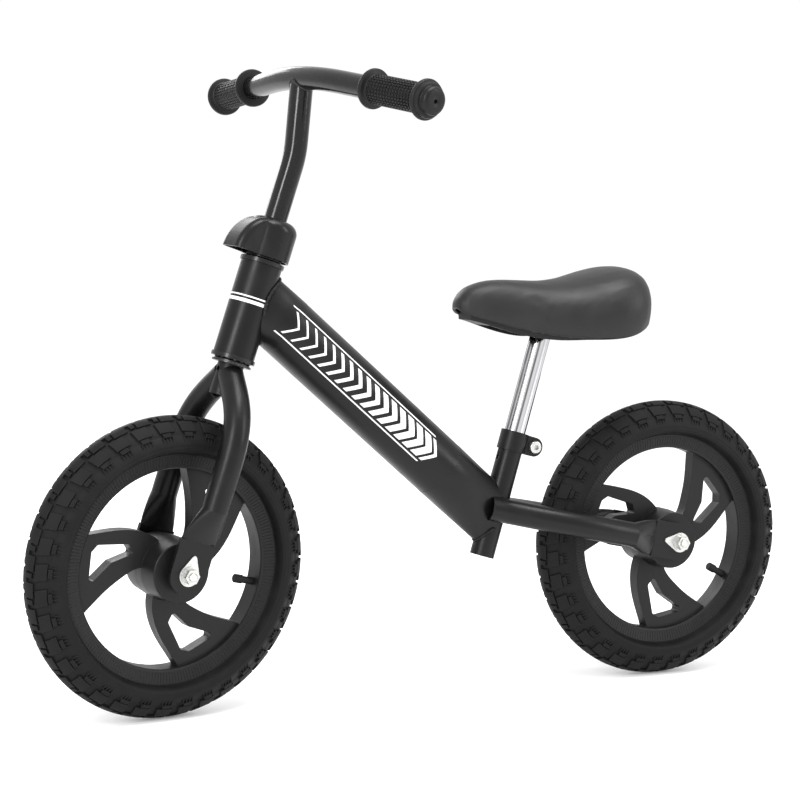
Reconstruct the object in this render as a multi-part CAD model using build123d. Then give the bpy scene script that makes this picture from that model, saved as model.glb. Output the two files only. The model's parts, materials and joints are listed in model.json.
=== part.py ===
from build123d import *
import os
from math import cos, pi, radians, sin, tan

# Balance bike, millimetres. +X is forward, +Y is the rider's left, +Z is up.
# The ground is z = 0 and the origin lies on it, midway between the axles.

# ---------------------------------------------------------------- overall sizes
WHEELBASE = 549.0             # rear axle to front axle
TYRE_DIAMETER = 290.0         # over the tread blocks
TYRE_WIDTH = 50.0             # over the side blocks
HEAD_ANGLE = 72.3             # steering axis above the ground, degrees
SEAT_ANGLE = 74.0             # seat tube above the ground, degrees
DOWN_ANGLE = 40.35            # down tube above the ground, degrees
STAY_ANGLE = 11.3             # chain stays above the ground, degrees
FORK_RAKE = 2.2               # axle ahead of the steering axis
STEER_AT_REST = 8.4           # the fork stands turned this far to the left, degrees
SEAT_NODE_AHEAD = 199.8       # rear axle to the crossing of down and seat tube axes
SEAT_NODE_HEIGHT = 175.3      # that crossing above the ground

# ---------------------------------------------------------------- tubes
DOWN_TUBE_D = 60.0
DOWN_TUBE_WALL = 1.6
DOWN_TUBE_PRESSED_WIDTH = 28.6   # the lower end is pressed narrow over the seat tube
DOWN_TUBE_PRESS_LENGTH = 82.0
DOWN_TUBE_PINCHED_WIDTH = 31.6 # at the head tube axis
DOWN_TUBE_PINCH_LENGTH = 46.0
HEAD_TUBE_D = 40.0
HEAD_TUBE_WALL = 2.0
HEAD_TUBE_LOW = 209.3         # along the steering axis, from the front axle
HEAD_TUBE_HIGH = 300.4
SEAT_TUBE_D = 25.0
SEAT_TUBE_WALL = 1.3
SEAT_TUBE_BELOW = 40.4        # below the crossing of the axes
SEAT_TUBE_ABOVE = 88.6
STAY_D = 25.4
LEG_D = 25.4
LEG_WALL = 1.6
STEERER_D = 25.4
STEERER_WALL = 1.5
STEERER_LOW = 170.0
STEERER_HIGH = 332.0
SEAT_POST_D = 22.2
SEAT_POST_WALL = 1.5
BAR_D = 22.2
BAR_WALL = 1.6

# ---------------------------------------------------------------- fork and stays
TUBE_BOW = 50.0               # centre of leg or stay beside the wheel, from the middle
DROPOUT_HALF_WIDTH = 19.0
DROPOUT_INNER = 38.5          # inner face of the flattened end, from the middle
DROPOUT_THICK = 4.5
FLAT_LENGTH = 32.0            # flat end, forward of or above the axle
FLATTEN_LENGTH = 32.0         # from flat end to round tube
WASHER_HOOK_OUT = 16.5        # washer hook hole, from the axle

# ---------------------------------------------------------------- handlebar
POST_FOOT = 250.0             # lower end of the handlebar post, along the steering axis
POST_BEND_AT = 411.0
POST_BEND_RADIUS = 110.0
POST_TOP_ANGLE = 86.0         # upper part above the ground, degrees
BAR_CENTRE_ABOVE_BEND = 72.6
BAR_BEND_HALF = 65.0          # half the width of the curved middle
BAR_SWEEP = 10.0              # each side bends back and down, degrees
BAR_SWEEP_DROP = 9.0          # direction of that sweep below level, degrees
GRIP_START = 110.0            # inner flange of the grip, from the middle
GRIP_LENGTH = 72.4            # flange to flange
GRIP_D = 28.0
GRIP_FLANGE_D = 37.5
GRIP_FLANGE_THICK = 5.0
GRIP_CAP_D = 33.0
GRIP_CAP_END = 85.5

# ---------------------------------------------------------------- wheel
RIM_LIP_R = 110.6
RIM_LIP_HALF = 15.0
RIM_EDGE_R = 96.6             # inner edge of the rim, where the spokes join
RIM_EDGE_HALF = 12.0
RIM_WALL = 3.0
SPOKE_HALF = 7.0              # half the thickness of a spoke web
HUB_FACE_HALF = 29.3
HUB_FACE_R = 29.2
HUB_MIDDLE_R = 31.0
SPOKE_GROUPS = 3
FRONT_SPOKE_PHASE = 60.0      # degrees from straight back, turning over the top
REAR_SPOKE_PHASE = 45.0
VALVE_FROM_SPOKE = -73.0
VALVE_TIP_R = 75.0
VALVE_STEM_D = 7.0
VALVE_CAP_D = 8.6
TYRE_WALL = 3.6
TUBE_SECTION_R = 15.4         # air tube section
TUBE_RING_R = 123.6
TUBE_SKIN = 1.3

# ---------------------------------------------------------------- bearings and axles
AXLE_D = 8.0
AXLE_HALF = 54.0
NUT_AF = 13.0
NUT_FLANGE_D = 17.6
NUT_FLANGE_THICK = 1.5
NUT_HEIGHT = 7.0
WASHER_THICK = 1.5
WASHER_R = 10.2
BEARING_D = 22.0
BEARING_BORE = 8.0
BEARING_WIDTH = 7.0
BEARING_BALL_D = 3.5
BEARING_BALLS = 7
BEARING_SET_IN = 2.0          # outer face of the bearing behind the hub face
SPACER_D = 12.6
HEAD_CUP_D = 43.0
HEAD_CUP_LIP = 4.0
HEAD_BALL_D = 4.0
HEAD_BALLS = 16
HEAD_BALL_RING_R = 15.9

# ---------------------------------------------------------------- clamps and cover
COLLAR_WALL = 1.8
COLLAR_HEIGHT = 20.0
COLLAR_SLOT = 2.6
EAR_R = 9.8
EAR_OUT = 22.0                # bolt centre from the tube axis
EAR_HALF = 7.6                # half the width over both ears
BOLT_D = 6.0
BOLT_HEAD_D = 13.0
BOLT_HEAD_HEIGHT = 4.6
COVER_LOW = 307.2
COVER_HIGH = 345.0
COVER_R = 24.2
COVER_NOSE_OUT = 40.0
COVER_NOSE_HALF = 16.0
COVER_WALL = 2.0

# ---------------------------------------------------------------- saddle
SADDLE_LENGTH = 211.5
SADDLE_WIDTH = 132.0
SADDLE_TALL = 72.0            # lowest edge to highest point
SADDLE_ABOVE_NODE = 183.6     # lowest edge above the crossing of the axes
SADDLE_NOSE_AHEAD = 48.3      # nose ahead of the crossing of the axes
SADDLE_PAD = 9.0
SADDLE_SKIRT = 4.5
SADDLE_BASE_WALL = 3.0
SADDLE_BASE_LIP = 4.0         # the base shows this far under the nose
POST_LOW = 12.0               # foot of the seat post above the crossing of the axes
PLATE_ABOVE_EDGE = 11.0       # welded plate above the saddle's lowest edge
PLATE_LENGTH = 62.0
PLATE_WIDTH = 38.0
PLATE_THICK = 3.0
SCREW_D = 5.0
SCREW_HEAD_D = 9.0

# ---------------------------------------------------------------- clearances
RUN = 0.05                    # radial, turning parts
SLIDE = 0.10                  # radial, a post in its tube
WELD = 0.05                   # tube end to the tube it is welded to
SOFT = 0.30                   # padding beside harder parts
SEAT = 0.02                   # parts seated together
SHOULDER = 0.12               # a formed tube end stands this proud of the round tube

TYRE_R = TYRE_DIAMETER / 2
REAR_AXLE = (-WHEELBASE / 2, 0.0, TYRE_R)
FRONT_AXLE = (WHEELBASE / 2, 0.0, TYRE_R)
SEAT_NODE = (SEAT_NODE_AHEAD - WHEELBASE / 2, 0.0, SEAT_NODE_HEIGHT)


def leaning(point, angle, ahead=0.0):
    # local z runs up an axis that leans back, local x is square to it and forward, y is left
    a = radians(angle)
    up = (-cos(a), 0, sin(a))
    fwd = (sin(a), 0, cos(a))
    base = tuple(point[i] - ahead * fwd[i] for i in range(3))
    return Location(Plane(origin=base, x_dir=fwd, z_dir=up))


STEER_AXIS = leaning(FRONT_AXLE, HEAD_ANGLE, FORK_RAKE)
STEER = STEER_AXIS * Rot(0, 0, STEER_AT_REST)
STEER_TURN = STEER * STEER_AXIS.inverse()
SEAT_AXIS = leaning(SEAT_NODE, SEAT_ANGLE)
STAY_AXIS = leaning(REAR_AXLE, 180 - STAY_ANGLE)
ALONG_Y = Rot(-90, 0, 0)
SIDES = (1, -1)

DROPOUT_OUTER = DROPOUT_INNER + DROPOUT_THICK
WASHER_OUTER = DROPOUT_OUTER + WASHER_THICK
BEARING_OUTER = HUB_FACE_HALF - BEARING_SET_IN
BEARING_INNER = BEARING_OUTER - BEARING_WIDTH
BALL_GAP = BEARING_BALL_D / 2 + RUN


def rod(diameter, z0, z1):
    return Pos(0, 0, (z0 + z1) / 2) * Cylinder(diameter / 2, z1 - z0)


def ring(outer, inner, z0, z1):
    return rod(outer, z0, z1) - rod(inner, z0 - 1, z1 + 1)


def block(x0, x1, y0, y1, z0, z1):
    centre = Pos((x0 + x1) / 2, (y0 + y1) / 2, (z0 + z1) / 2)
    return centre * Box(x1 - x0, y1 - y0, z1 - z0)


def both_sides(make):
    # one solid for the left and one for the right, kept in one node
    return Compound(children=[make(1), make(-1)])


def turned(points):
    # a ring about local z from its (radius, height) corners
    outline = Polyline(*[(r, 0, z) for r, z in points], close=True)
    return revolve(make_face(outline), Axis.Z, 360)


def swept_rod(path, diameter):
    start = Plane(origin=path @ 0, z_dir=path % 0)
    return sweep(start * Circle(diameter / 2), path=path)


def swept_tube(path, diameter, wall):
    return swept_rod(path, diameter) - swept_rod(path, diameter - 2 * wall)


def save(node, shape):
    export_step(shape, "parts/" + node + ".step")


# ================================================================ tube ends and legs
def oval(half_x, half_y, x, y, z):
    return Pos(x, y, z) * Ellipse(half_x, half_y)


def flattened_end(side, diameter, ahead, shrink=0.0):
    # the tube squashed from round to a flat end, toward the wheel
    top = FLAT_LENGTH + FLATTEN_LENGTH
    middle = (FLAT_LENGTH + top) / 2
    flat_y = (DROPOUT_INNER + DROPOUT_OUTER) / 2
    r = diameter / 2
    flat = oval(DROPOUT_HALF_WIDTH - 0.4 - shrink, DROPOUT_THICK / 2 + 0.3 - shrink, ahead, side * flat_y, FLAT_LENGTH)
    half = oval(r + 4.0 - shrink, r * 0.62 - shrink, ahead / 2, side * (TUBE_BOW - 4.2), middle)
    full = oval(r + SHOULDER - shrink, r + 0.8 * SHOULDER - shrink, 0, side * TUBE_BOW, top)
    return loft([flat, half, full])


def dropout(side, ahead):
    y0, y1 = sorted((side * DROPOUT_INNER, side * DROPOUT_OUTER))
    plate = block(ahead - DROPOUT_HALF_WIDTH, ahead + DROPOUT_HALF_WIDTH, y0, y1, 0, FLAT_LENGTH)
    plate += Pos(ahead, 0, 0) * ALONG_Y * rod(2 * DROPOUT_HALF_WIDTH, y0, y1)
    plate -= Pos(ahead, 0, 0) * ALONG_Y * rod(AXLE_D + 0.4, y0 - 1, y1 + 1)
    plate -= Pos(ahead, 0, WASHER_HOOK_OUT) * ALONG_Y * rod(3.4, y0 - 1, y1 + 1)
    return plate


def bowed_leg(side, diameter, wall, ahead, bow):
    # flat end at the axle, then a round tube bowed past the tyre to the middle
    top = FLAT_LENGTH + FLATTEN_LENGTH
    points = [(0, side * TUBE_BOW, top)] + [(0, side * y, z) for y, z in bow]
    last = points[-1]
    before = points[-2]
    lean = (0, last[1] - before[1], last[2] - before[2])
    path = Spline(*points, tangents=[(0, 0, 1), lean])
    leg = swept_rod(path, diameter) + flattened_end(side, diameter, ahead) + dropout(side, ahead)
    hollow = swept_rod(path, diameter - 2 * wall) + flattened_end(side, diameter, ahead, wall)
    return leg - hollow


# ================================================================ frame
DOWN_START = Plane(
    origin=SEAT_NODE,
    x_dir=(-sin(radians(DOWN_ANGLE)), 0, cos(radians(DOWN_ANGLE))),
    z_dir=(cos(radians(DOWN_ANGLE)), 0, sin(radians(DOWN_ANGLE))),
)


def down_tube_length():
    # from the seat tube axis to the steering axis
    gap = STEER_AXIS.position - Vector(*SEAT_NODE)
    across = gap.X * sin(radians(HEAD_ANGLE)) + gap.Z * cos(radians(HEAD_ANGLE))
    return across / sin(radians(HEAD_ANGLE + DOWN_ANGLE))


def down_tube_form(shrink):
    # pressed narrow at the seat tube, round in the middle and pinched to fit the head tube
    tall = DOWN_TUBE_D / 2 - shrink
    narrow = DOWN_TUBE_PRESSED_WIDTH / 2 - shrink
    reach = DOWN_TUBE_PRESS_LENGTH
    sections = [
        DOWN_START.offset(-22) * Ellipse(tall, narrow),
        DOWN_START.offset(6) * Ellipse(tall, narrow + 0.4),
        DOWN_START.offset(reach * 0.45) * Ellipse(tall, narrow + (tall - narrow) * 0.56),
        DOWN_START.offset(reach * 0.8) * Ellipse(tall, narrow + (tall - narrow) * 0.94),
        DOWN_START.offset(reach) * Ellipse(tall + SHOULDER, tall + 0.8 * SHOULDER),
    ]
    pressed = loft(sections)
    end = down_tube_length()
    pinch_from = end - DOWN_TUBE_PINCH_LENGTH
    half = DOWN_TUBE_PINCHED_WIDTH / 2 - shrink
    pinched = loft([
        DOWN_START.offset(pinch_from) * Ellipse(tall + SHOULDER, tall + 0.8 * SHOULDER),
        DOWN_START.offset(end - DOWN_TUBE_PINCH_LENGTH * 0.6) * Ellipse(tall, half + (tall - half) * 0.68),
        DOWN_START.offset(end - DOWN_TUBE_PINCH_LENGTH * 0.3) * Ellipse(tall, half + (tall - half) * 0.24),
        DOWN_START.offset(end) * Ellipse(tall, half),
    ])
    straight = extrude(DOWN_START.offset(reach) * Circle(tall), pinch_from - reach)
    return pressed + straight + pinched


def down_tube():
    tube = down_tube_form(0) - down_tube_form(DOWN_TUBE_WALL)
    tube -= STEER_AXIS * rod(HEAD_TUBE_D + 2 * WELD, 100, 400)
    tube -= SEAT_AXIS * rod(SEAT_TUBE_D + 2 * WELD, -200, 300)
    return tube - SEAT_AXIS * block(-100, -1, -100, 100, -200, 200)


def head_tube():
    inner = HEAD_TUBE_D - 2 * HEAD_TUBE_WALL
    return STEER_AXIS * ring(HEAD_TUBE_D, inner, HEAD_TUBE_LOW, HEAD_TUBE_HIGH)


def seat_tube():
    tube = ring(SEAT_TUBE_D, SEAT_TUBE_D - 2 * SEAT_TUBE_WALL, -SEAT_TUBE_BELOW, SEAT_TUBE_ABOVE)
    tube -= block(0, SEAT_TUBE_D, -COLLAR_SLOT / 2, COLLAR_SLOT / 2, SEAT_TUBE_ABOVE - 28, SEAT_TUBE_ABOVE + 1)
    relief = Pos(SEAT_TUBE_D / 2, 0, SEAT_TUBE_ABOVE - 28) * Rot(0, 90, 0)
    return SEAT_AXIS * (tube - relief * Cylinder(2.5, 8))


def chain_stay(side):
    bow = [(TUBE_BOW, 94), (TUBE_BOW - 4.6, 128), (TUBE_BOW - 18.5, 163), (16, 197), (13.2, 214)]
    stay = STAY_AXIS * bowed_leg(side, STAY_D, LEG_WALL, 0, bow)
    stay -= SEAT_AXIS * rod(SEAT_TUBE_D + 2 * WELD, -200, 300)
    stay -= down_tube_form(-WELD)
    return biggest(stay & block(-900, 900, *sorted((side * WELD, side * 200)), 0, 900))


def biggest(shape):
    # the main body, without slivers left inside the tube it is welded to
    return max(shape.solids(), key=lambda s: s.volume)


def cup_form():
    # pressed into the head tube end, with its lip outside, for the end at height 0
    lip = HEAD_CUP_D / 2
    inner = HEAD_TUBE_D / 2 - HEAD_TUBE_WALL - SEAT
    pocket = HEAD_BALL_RING_R + HEAD_BALL_D / 2 + 0.15
    race = HEAD_CUP_LIP - 1.45
    throat = STEERER_D / 2 + 1.7
    return turned([
        (pocket, HEAD_CUP_LIP), (lip, HEAD_CUP_LIP), (lip, 0), (inner, 0),
        (inner, -8), (throat, -8), (throat, HEAD_CUP_LIP - race), (pocket, HEAD_CUP_LIP - race),
    ])


HEAD_BOTTOM = Pos(0, 0, HEAD_TUBE_LOW) * Rot(180, 0, 0)
HEAD_TOP = Pos(0, 0, HEAD_TUBE_HIGH)
HEAD_BALL_AT = 1.45 + HEAD_BALL_D / 2 + RUN      # ball centre beyond the head tube end
HEAD_RACE_AT = HEAD_BALL_AT + HEAD_BALL_D / 2 + RUN


def headset_balls():
    # one ring of balls outside a head tube end at height 0
    balls = []
    for i in range(HEAD_BALLS):
        balls.append(Rot(0, 0, 360 * i / HEAD_BALLS) * Pos(HEAD_BALL_RING_R, 0, HEAD_BALL_AT) * Sphere(HEAD_BALL_D / 2))
    return Compound(children=balls)


def crown_race():
    bore = STEERER_D / 2 + SEAT
    low = HEAD_RACE_AT
    return turned([(bore, low), (17.6, low), (17.6, low + 0.9), (19.2, low + 0.9), (19.2, low + 2.9), (bore, low + 2.9)])


def headset_nut():
    bore = STEERER_D / 2 + SEAT
    low = HEAD_RACE_AT
    cone = turned([(bore, low), (17.6, low), (17.6, low + 3), (bore, low + 3)])
    hexagon = Pos(0, 0, low + 3) * extrude(RegularPolygon(18, 6), 3)
    return cone + (hexagon - rod(2 * bore, low, low + 9))


# ================================================================ clamp collars
def clamp_collar(tube_d, z0, z1, lip):
    # split collar with its ears toward local +x
    outer = tube_d + 2 * COLLAR_WALL
    bore = tube_d + 2 * SEAT
    middle = (z0 + z1) / 2
    ears = block(tube_d / 2, EAR_OUT, -EAR_HALF, EAR_HALF, middle - EAR_R, middle + EAR_R)
    ears += Pos(EAR_OUT, 0, middle) * ALONG_Y * rod(2 * EAR_R, -EAR_HALF, EAR_HALF)
    collar = rod(outer, z0, z1) + ears
    collar -= rod(bore, z0 - 1, z1 - lip)
    collar -= rod(tube_d - 1.6, z0 - 1, z1 + 1)
    collar -= block(0, EAR_OUT + EAR_R + 1, -COLLAR_SLOT / 2, COLLAR_SLOT / 2, z0 - 1, z1 + 1)
    return collar - Pos(EAR_OUT, 0, middle) * ALONG_Y * rod(BOLT_D + 0.4, -20, 20)


def clamp_bolt(z0, z1):
    # head on the left ear with a hex socket
    middle = (z0 + z1) / 2
    head = rod(BOLT_HEAD_D, EAR_HALF, EAR_HALF + BOLT_HEAD_HEIGHT)
    head = fillet(head.edges().sort_by(Axis.Z)[-1], 1.6)
    socket = Pos(0, 0, EAR_HALF + 1.4) * extrude(RegularPolygon(2.9, 6), 5)
    bolt = head - socket + rod(BOLT_D, -EAR_HALF - 6.5, EAR_HALF)
    return Pos(EAR_OUT, 0, middle) * ALONG_Y * bolt


def clamp_nut(z0, z1):
    middle = (z0 + z1) / 2
    nut = extrude(RegularPolygon(5.77, 6), 5) - rod(BOLT_D + 2 * SEAT, -1, 6)
    return Pos(EAR_OUT, 0, middle) * ALONG_Y * Pos(0, 0, -EAR_HALF - 5) * nut


SEAT_COLLAR = (SEAT_TUBE_ABOVE + 1.6 - COLLAR_HEIGHT, SEAT_TUBE_ABOVE + 1.6)
STEM_COLLAR = (314.0, 330.0)
REARWARD = Rot(0, 0, 180)


# ================================================================ axle sets, local z across the wheel
def axle():
    return chamfer(rod(AXLE_D, -AXLE_HALF, AXLE_HALF).edges(), 0.8)


def axle_nuts():
    def nut(side):
        hexagon = extrude(RegularPolygon(NUT_AF / 2 / cos(pi / 6), 6), NUT_HEIGHT)
        flange = rod(NUT_FLANGE_D, 0, NUT_FLANGE_THICK)
        body = hexagon + flange - rod(AXLE_D + 2 * SEAT, -1, NUT_HEIGHT + 1)
        return Rot(0 if side > 0 else 180, 0, 0) * Pos(0, 0, WASHER_OUTER) * body
    return both_sides(nut)


def tab_washers(toward):
    # teardrop washers whose tip points along local (x, y) = toward and hooks the dropout
    def washer(side):
        tip = Pos(toward[0] * WASHER_HOOK_OUT, toward[1] * WASHER_HOOK_OUT, 0)
        disc = Pos(0, 0, WASHER_THICK / 2) * Cylinder(WASHER_R, WASHER_THICK)
        hull = make_hull((Circle(WASHER_R) + tip * Circle(2.6)).edges())
        body = extrude(hull, WASHER_THICK) + disc
        body += tip * rod(3.0, -DROPOUT_THICK + 0.5, 0.5)
        body -= rod(AXLE_D + 0.3, -1, 5)
        flip = Pos(0, 0, DROPOUT_OUTER) * body
        return flip if side > 0 else mirror(flip, Plane.XY)
    return both_sides(washer)


def axle_spacers():
    def spacer(side):
        z0, z1 = sorted((side * BEARING_OUTER, side * DROPOUT_INNER))
        return ring(SPACER_D, AXLE_D + 2 * SEAT, z0, z1)
    return both_sides(spacer)


def bearing_inner_rings():
    outer = 2 * (BEARING_RACE_R - BALL_GAP)

    def inner(side):
        z0, z1 = sorted((side * BEARING_INNER, side * BEARING_OUTER))
        return ring(outer, BEARING_BORE + 2 * SEAT, z0, z1)
    return both_sides(inner)


def axle_sleeve():
    return ring(2 * (BEARING_RACE_R - BALL_GAP), AXLE_D + 2 * SEAT, -BEARING_INNER, BEARING_INNER)


# ================================================================ wheel, local z across the wheel
BEARING_RACE_R = 7.5          # ring of ball centres


def wheel_point(angle, radius):
    # angle from straight back, turning over the top
    return (-radius * cos(radians(angle)), -radius * sin(radians(angle)))


def spoke_web(phase):
    # one pair of swept spokes with the small window between them
    lead = [(-6, 27), (-5, 34), (5, 51), (13, 69), (18, 83), (22, 98.5)]
    trail = [(-68, 27), (-65, 31), (-55, 43), (-38, 66), (-29, 82), (-23, 98.5)]
    a = Spline(*[wheel_point(phase + t, r) for t, r in lead])
    b = Spline(*[wheel_point(phase + t, r) for t, r in trail])
    rim_mid = wheel_point(phase, 98.5)
    hub_mid = wheel_point(phase - 37, 24)
    at_rim = ThreePointArc(a @ 1, rim_mid, b @ 1)
    at_hub = ThreePointArc(a @ 0, hub_mid, b @ 0)
    web = extrude(make_face([a, at_rim, b, at_hub]), SPOKE_HALF, both=True)
    corners = [(-24.5, 42.5), (-31, 52), (-20.5, 81), (-15, 85.2), (2.4, 84.6), (4.2, 80.5), (-10, 62)]
    window = make_face(Polyline(*[wheel_point(phase + t, r) for t, r in corners], close=True))
    window = fillet(window.vertices(), 2.6)
    return web - extrude(window, SPOKE_HALF + 1, both=True)


def rim():
    half = [
        (RIM_EDGE_R - 0.6, 10.4), (RIM_EDGE_R, 11.6), (RIM_EDGE_R + 1.0, RIM_EDGE_HALF + 0.2),
        (RIM_LIP_R - 1.4, RIM_LIP_HALF), (RIM_LIP_R - 0.4, RIM_LIP_HALF), (RIM_LIP_R, RIM_LIP_HALF - 0.4),
        (RIM_LIP_R, RIM_LIP_HALF - 1.4), (RIM_LIP_R - 4.4, RIM_LIP_HALF - 1.4),
        (RIM_LIP_R - 4.4, 9.2), (RIM_EDGE_R + RIM_WALL + 0.9, 7.0),
    ]
    body = turned(half + [(r, -z) for r, z in reversed(half)])
    hub = [
        (BEARING_D / 2 + SEAT, HUB_FACE_HALF), (HUB_FACE_R - 0.8, HUB_FACE_HALF), (HUB_FACE_R, HUB_FACE_HALF - 0.8),
        (HUB_MIDDLE_R, SPOKE_HALF),
    ]
    lower = [(r, -z) for r, z in reversed(hub)]
    bore = [
        (BEARING_D / 2 + SEAT, -BEARING_INNER), (8.0, -BEARING_INNER), (8.0, BEARING_INNER),
        (BEARING_D / 2 + SEAT, BEARING_INNER),
    ]
    body += turned(hub + lower + bore)
    for i in range(SPOKE_GROUPS):
        body += spoke_web(360 * i / SPOKE_GROUPS)
    hole = Rot(0, 0, valve_turn()) * Rot(0, 90, 0) * rod(VALVE_STEM_D + 0.6, 80, 120)
    body -= hole
    return body - ring(3 * HUB_FACE_R + 400, 2 * RIM_LIP_R, -50, 50)


def valve_turn():
    x, y = wheel_point(VALVE_FROM_SPOKE, 1)
    return Vector(1, 0, 0).get_signed_angle(Vector(x, y, 0), Vector(0, 0, 1))


def valve():
    # rubber stem through the rim with its screwed cap
    stem = rod(VALVE_STEM_D, VALVE_TIP_R + 9, TUBE_RING_R - TUBE_SECTION_R - 0.1)
    cap = chamfer(rod(VALVE_CAP_D, VALVE_TIP_R, VALVE_TIP_R + 9).edges(), 0.6)
    return Rot(0, 0, valve_turn()) * Rot(0, 90, 0) * (stem + cap)


def tyre():
    # casing from bead to bead, its outer line taken over the tread blocks
    w = TYRE_WIDTH / 2
    r = TYRE_R
    bead = RIM_LIP_HALF - 1.7
    low = RIM_LIP_R - 4.2
    outer_half = [
        (RIM_LIP_R + 0.7, w - 8.2), (RIM_LIP_R + 1.8, w - 3.9), (RIM_LIP_R + 3.9, w - 1.0), (r - 28.1, w),
        (r - 23.4, w - 0.5), (r - 16.5, w - 2.7), (r - 12.5, w - 4.9), (r - 9.1, w - 7.4),
        (r - 5.2, w - 11.4), (r - 2.9, w - 14.9), (r - 0.8, w - 19.9),
    ]
    inner_half = [
        (RIM_LIP_R + 2.6, 14.0), (r - 29.4, 19.0), (r - 26.5, w - TYRE_WALL), (r - 22.5, w - TYRE_WALL - 0.6),
        (r - 16.5, w - TYRE_WALL - 3.0), (r - 11.0, w - TYRE_WALL - 7.4), (r - 6.0, w - TYRE_WALL - 12.5),
    ]
    outer = [(RIM_LIP_R + 0.5, bead)] + outer_half + [(r, 0)]
    outer = outer + [(a, -b) for a, b in reversed(outer[:-1])]
    inner = [(RIM_LIP_R + 0.4, 9.6)] + inner_half + [(r - TYRE_WALL, 0)]
    inner = inner + [(a, -b) for a, b in reversed(inner[:-1])]
    outside = Spline(*[(a, 0, b) for a, b in outer])
    inside = Spline(*[(a, 0, b) for a, b in inner])
    right = Polyline(outside @ 0, (low, 0, bead), (low, 0, 9.6), inside @ 0)
    left = Polyline(outside @ 1, (low, 0, -bead), (low, 0, -9.6), inside @ 1)
    return revolve(make_face([outside, inside, right, left]), Axis.Z, 360)


def air_tube():
    section = Plane.XZ * Pos(TUBE_RING_R, 0) * (Circle(TUBE_SECTION_R) - Circle(TUBE_SECTION_R - TUBE_SKIN))
    return revolve(section, Axis.Z, 360)


def bearing_outer_rings():
    def outer(side):
        z0, z1 = sorted((side * BEARING_INNER, side * BEARING_OUTER))
        return ring(BEARING_D, 2 * (BEARING_RACE_R + BALL_GAP), z0, z1)
    return both_sides(outer)


def bearing_balls():
    balls = []
    for side in SIDES:
        z = side * (BEARING_INNER + BEARING_OUTER) / 2
        for i in range(BEARING_BALLS):
            balls.append(Rot(0, 0, 360 * i / BEARING_BALLS) * Pos(BEARING_RACE_R, 0, z) * Sphere(BEARING_BALL_D / 2))
    return Compound(children=balls)


def hub_seals():
    def seal(side):
        z0, z1 = sorted((side * (BEARING_OUTER + SEAT), side * (BEARING_OUTER + 1.2)))
        return ring(BEARING_D, SPACER_D + 0.8, z0, z1)
    return both_sides(seal)


# ================================================================ fork, in the steering frame
def fork_leg(side):
    bow = [(TUBE_BOW, 96), (TUBE_BOW - 1.6, 128), (TUBE_BOW - 8, 149), (TUBE_BOW - 22, 169), (4.5, 191)]
    leg = bowed_leg(side, LEG_D, LEG_WALL, FORK_RAKE, bow)
    leg -= rod(STEERER_D + 2 * WELD, 100, 400)
    leg -= rod(60, HEAD_TUBE_LOW - HEAD_RACE_AT - 3.4, 400)
    return biggest(leg & block(-100, 100, *sorted((side * WELD, side * 200)), -100, 400))


def steerer_tube():
    tube = ring(STEERER_D, STEERER_D - 2 * STEERER_WALL, STEERER_LOW, STEERER_HIGH)
    tube -= block(0, STEERER_D, -COLLAR_SLOT / 2, COLLAR_SLOT / 2, STEM_COLLAR[0] - 6, STEERER_HIGH + 1)
    return tube - Pos(STEERER_D / 2, 0, CROWN_HOLE_AT) * Rot(0, 90, 0) * Cylinder(CROWN_HOLE_D / 2, 8)


CROWN_HOLE_AT = 194.0         # threaded hole for a mudguard, front of the steerer
CROWN_HOLE_D = 5.0


def clamp_cover():
    # moulded hood: a domed cap round the post and a nose over the clamp bolt
    def form(shrink):
        r = COVER_R - shrink
        high = COVER_HIGH - shrink
        low = COVER_LOW - (2 if shrink else 0)
        cap = rod(2 * r, low, high)
        cap = fillet(cap.edges().sort_by(Axis.Z)[-1], 11 - shrink)
        out = COVER_NOSE_OUT - 8 - shrink
        tall = high - COVER_LOW - 0.6
        outline = Plane.XZ * Pos(8, COVER_LOW) * Ellipse(out, tall)
        nose = extrude(outline, COVER_NOSE_HALF + 1.5 - shrink, both=True)
        nose = fillet(nose.edges().filter_by(Plane.XZ), 7.5 - shrink)
        nose &= block(2, 60, -30, 30, low, COVER_HIGH)
        return cap + nose
    cover = form(0) - form(COVER_WALL)
    boss = ring(BAR_D + 5, BAR_D + 0.8, STEERER_HIGH + SEAT, COVER_HIGH - 1)
    return cover - rod(BAR_D + 0.8, 300, 400) + boss


# ================================================================ handlebar, in the steering frame
def bar_points():
    # bend of the post and centre of the crossbar
    bend = Vector(0, 0, POST_BEND_AT)
    tilt = radians(POST_TOP_ANGLE - HEAD_ANGLE)
    centre = bend + Vector(sin(tilt), 0, cos(tilt)) * BAR_CENTRE_ABOVE_BEND
    return bend, centre


def crossbar_path(reach):
    _, centre = bar_points()
    drop = radians(BAR_SWEEP_DROP + 90 - HEAD_ANGLE)
    back = Vector(-cos(drop), 0, -sin(drop))
    sweep_angle = radians(BAR_SWEEP)
    radius = BAR_BEND_HALF / sin(sweep_angle)
    sag = radius * (1 - cos(sweep_angle))
    end_sag = sag + (reach - BAR_BEND_HALF) * tan(sweep_angle)
    left = centre + back * sag + Vector(0, BAR_BEND_HALF, 0)
    right = centre + back * sag - Vector(0, BAR_BEND_HALF, 0)
    left_end = centre + back * end_sag + Vector(0, reach, 0)
    right_end = centre + back * end_sag - Vector(0, reach, 0)
    middle = ThreePointArc(right, centre, left)
    return Wire([Line(right_end, right), middle, Line(left, left_end)])


def grip_frame(side):
    # local z runs outward along the bar from the grip's inner flange
    path = crossbar_path(GRIP_START + GRIP_LENGTH + 4)
    end = path @ (1 if side > 0 else 0)
    away = (path % 1) if side > 0 else -(path % 0)
    start = end - away * ((GRIP_LENGTH + 4) / cos(radians(BAR_SWEEP)))
    return Location(Plane(origin=start, x_dir=(1, 0, 0), z_dir=away))


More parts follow.
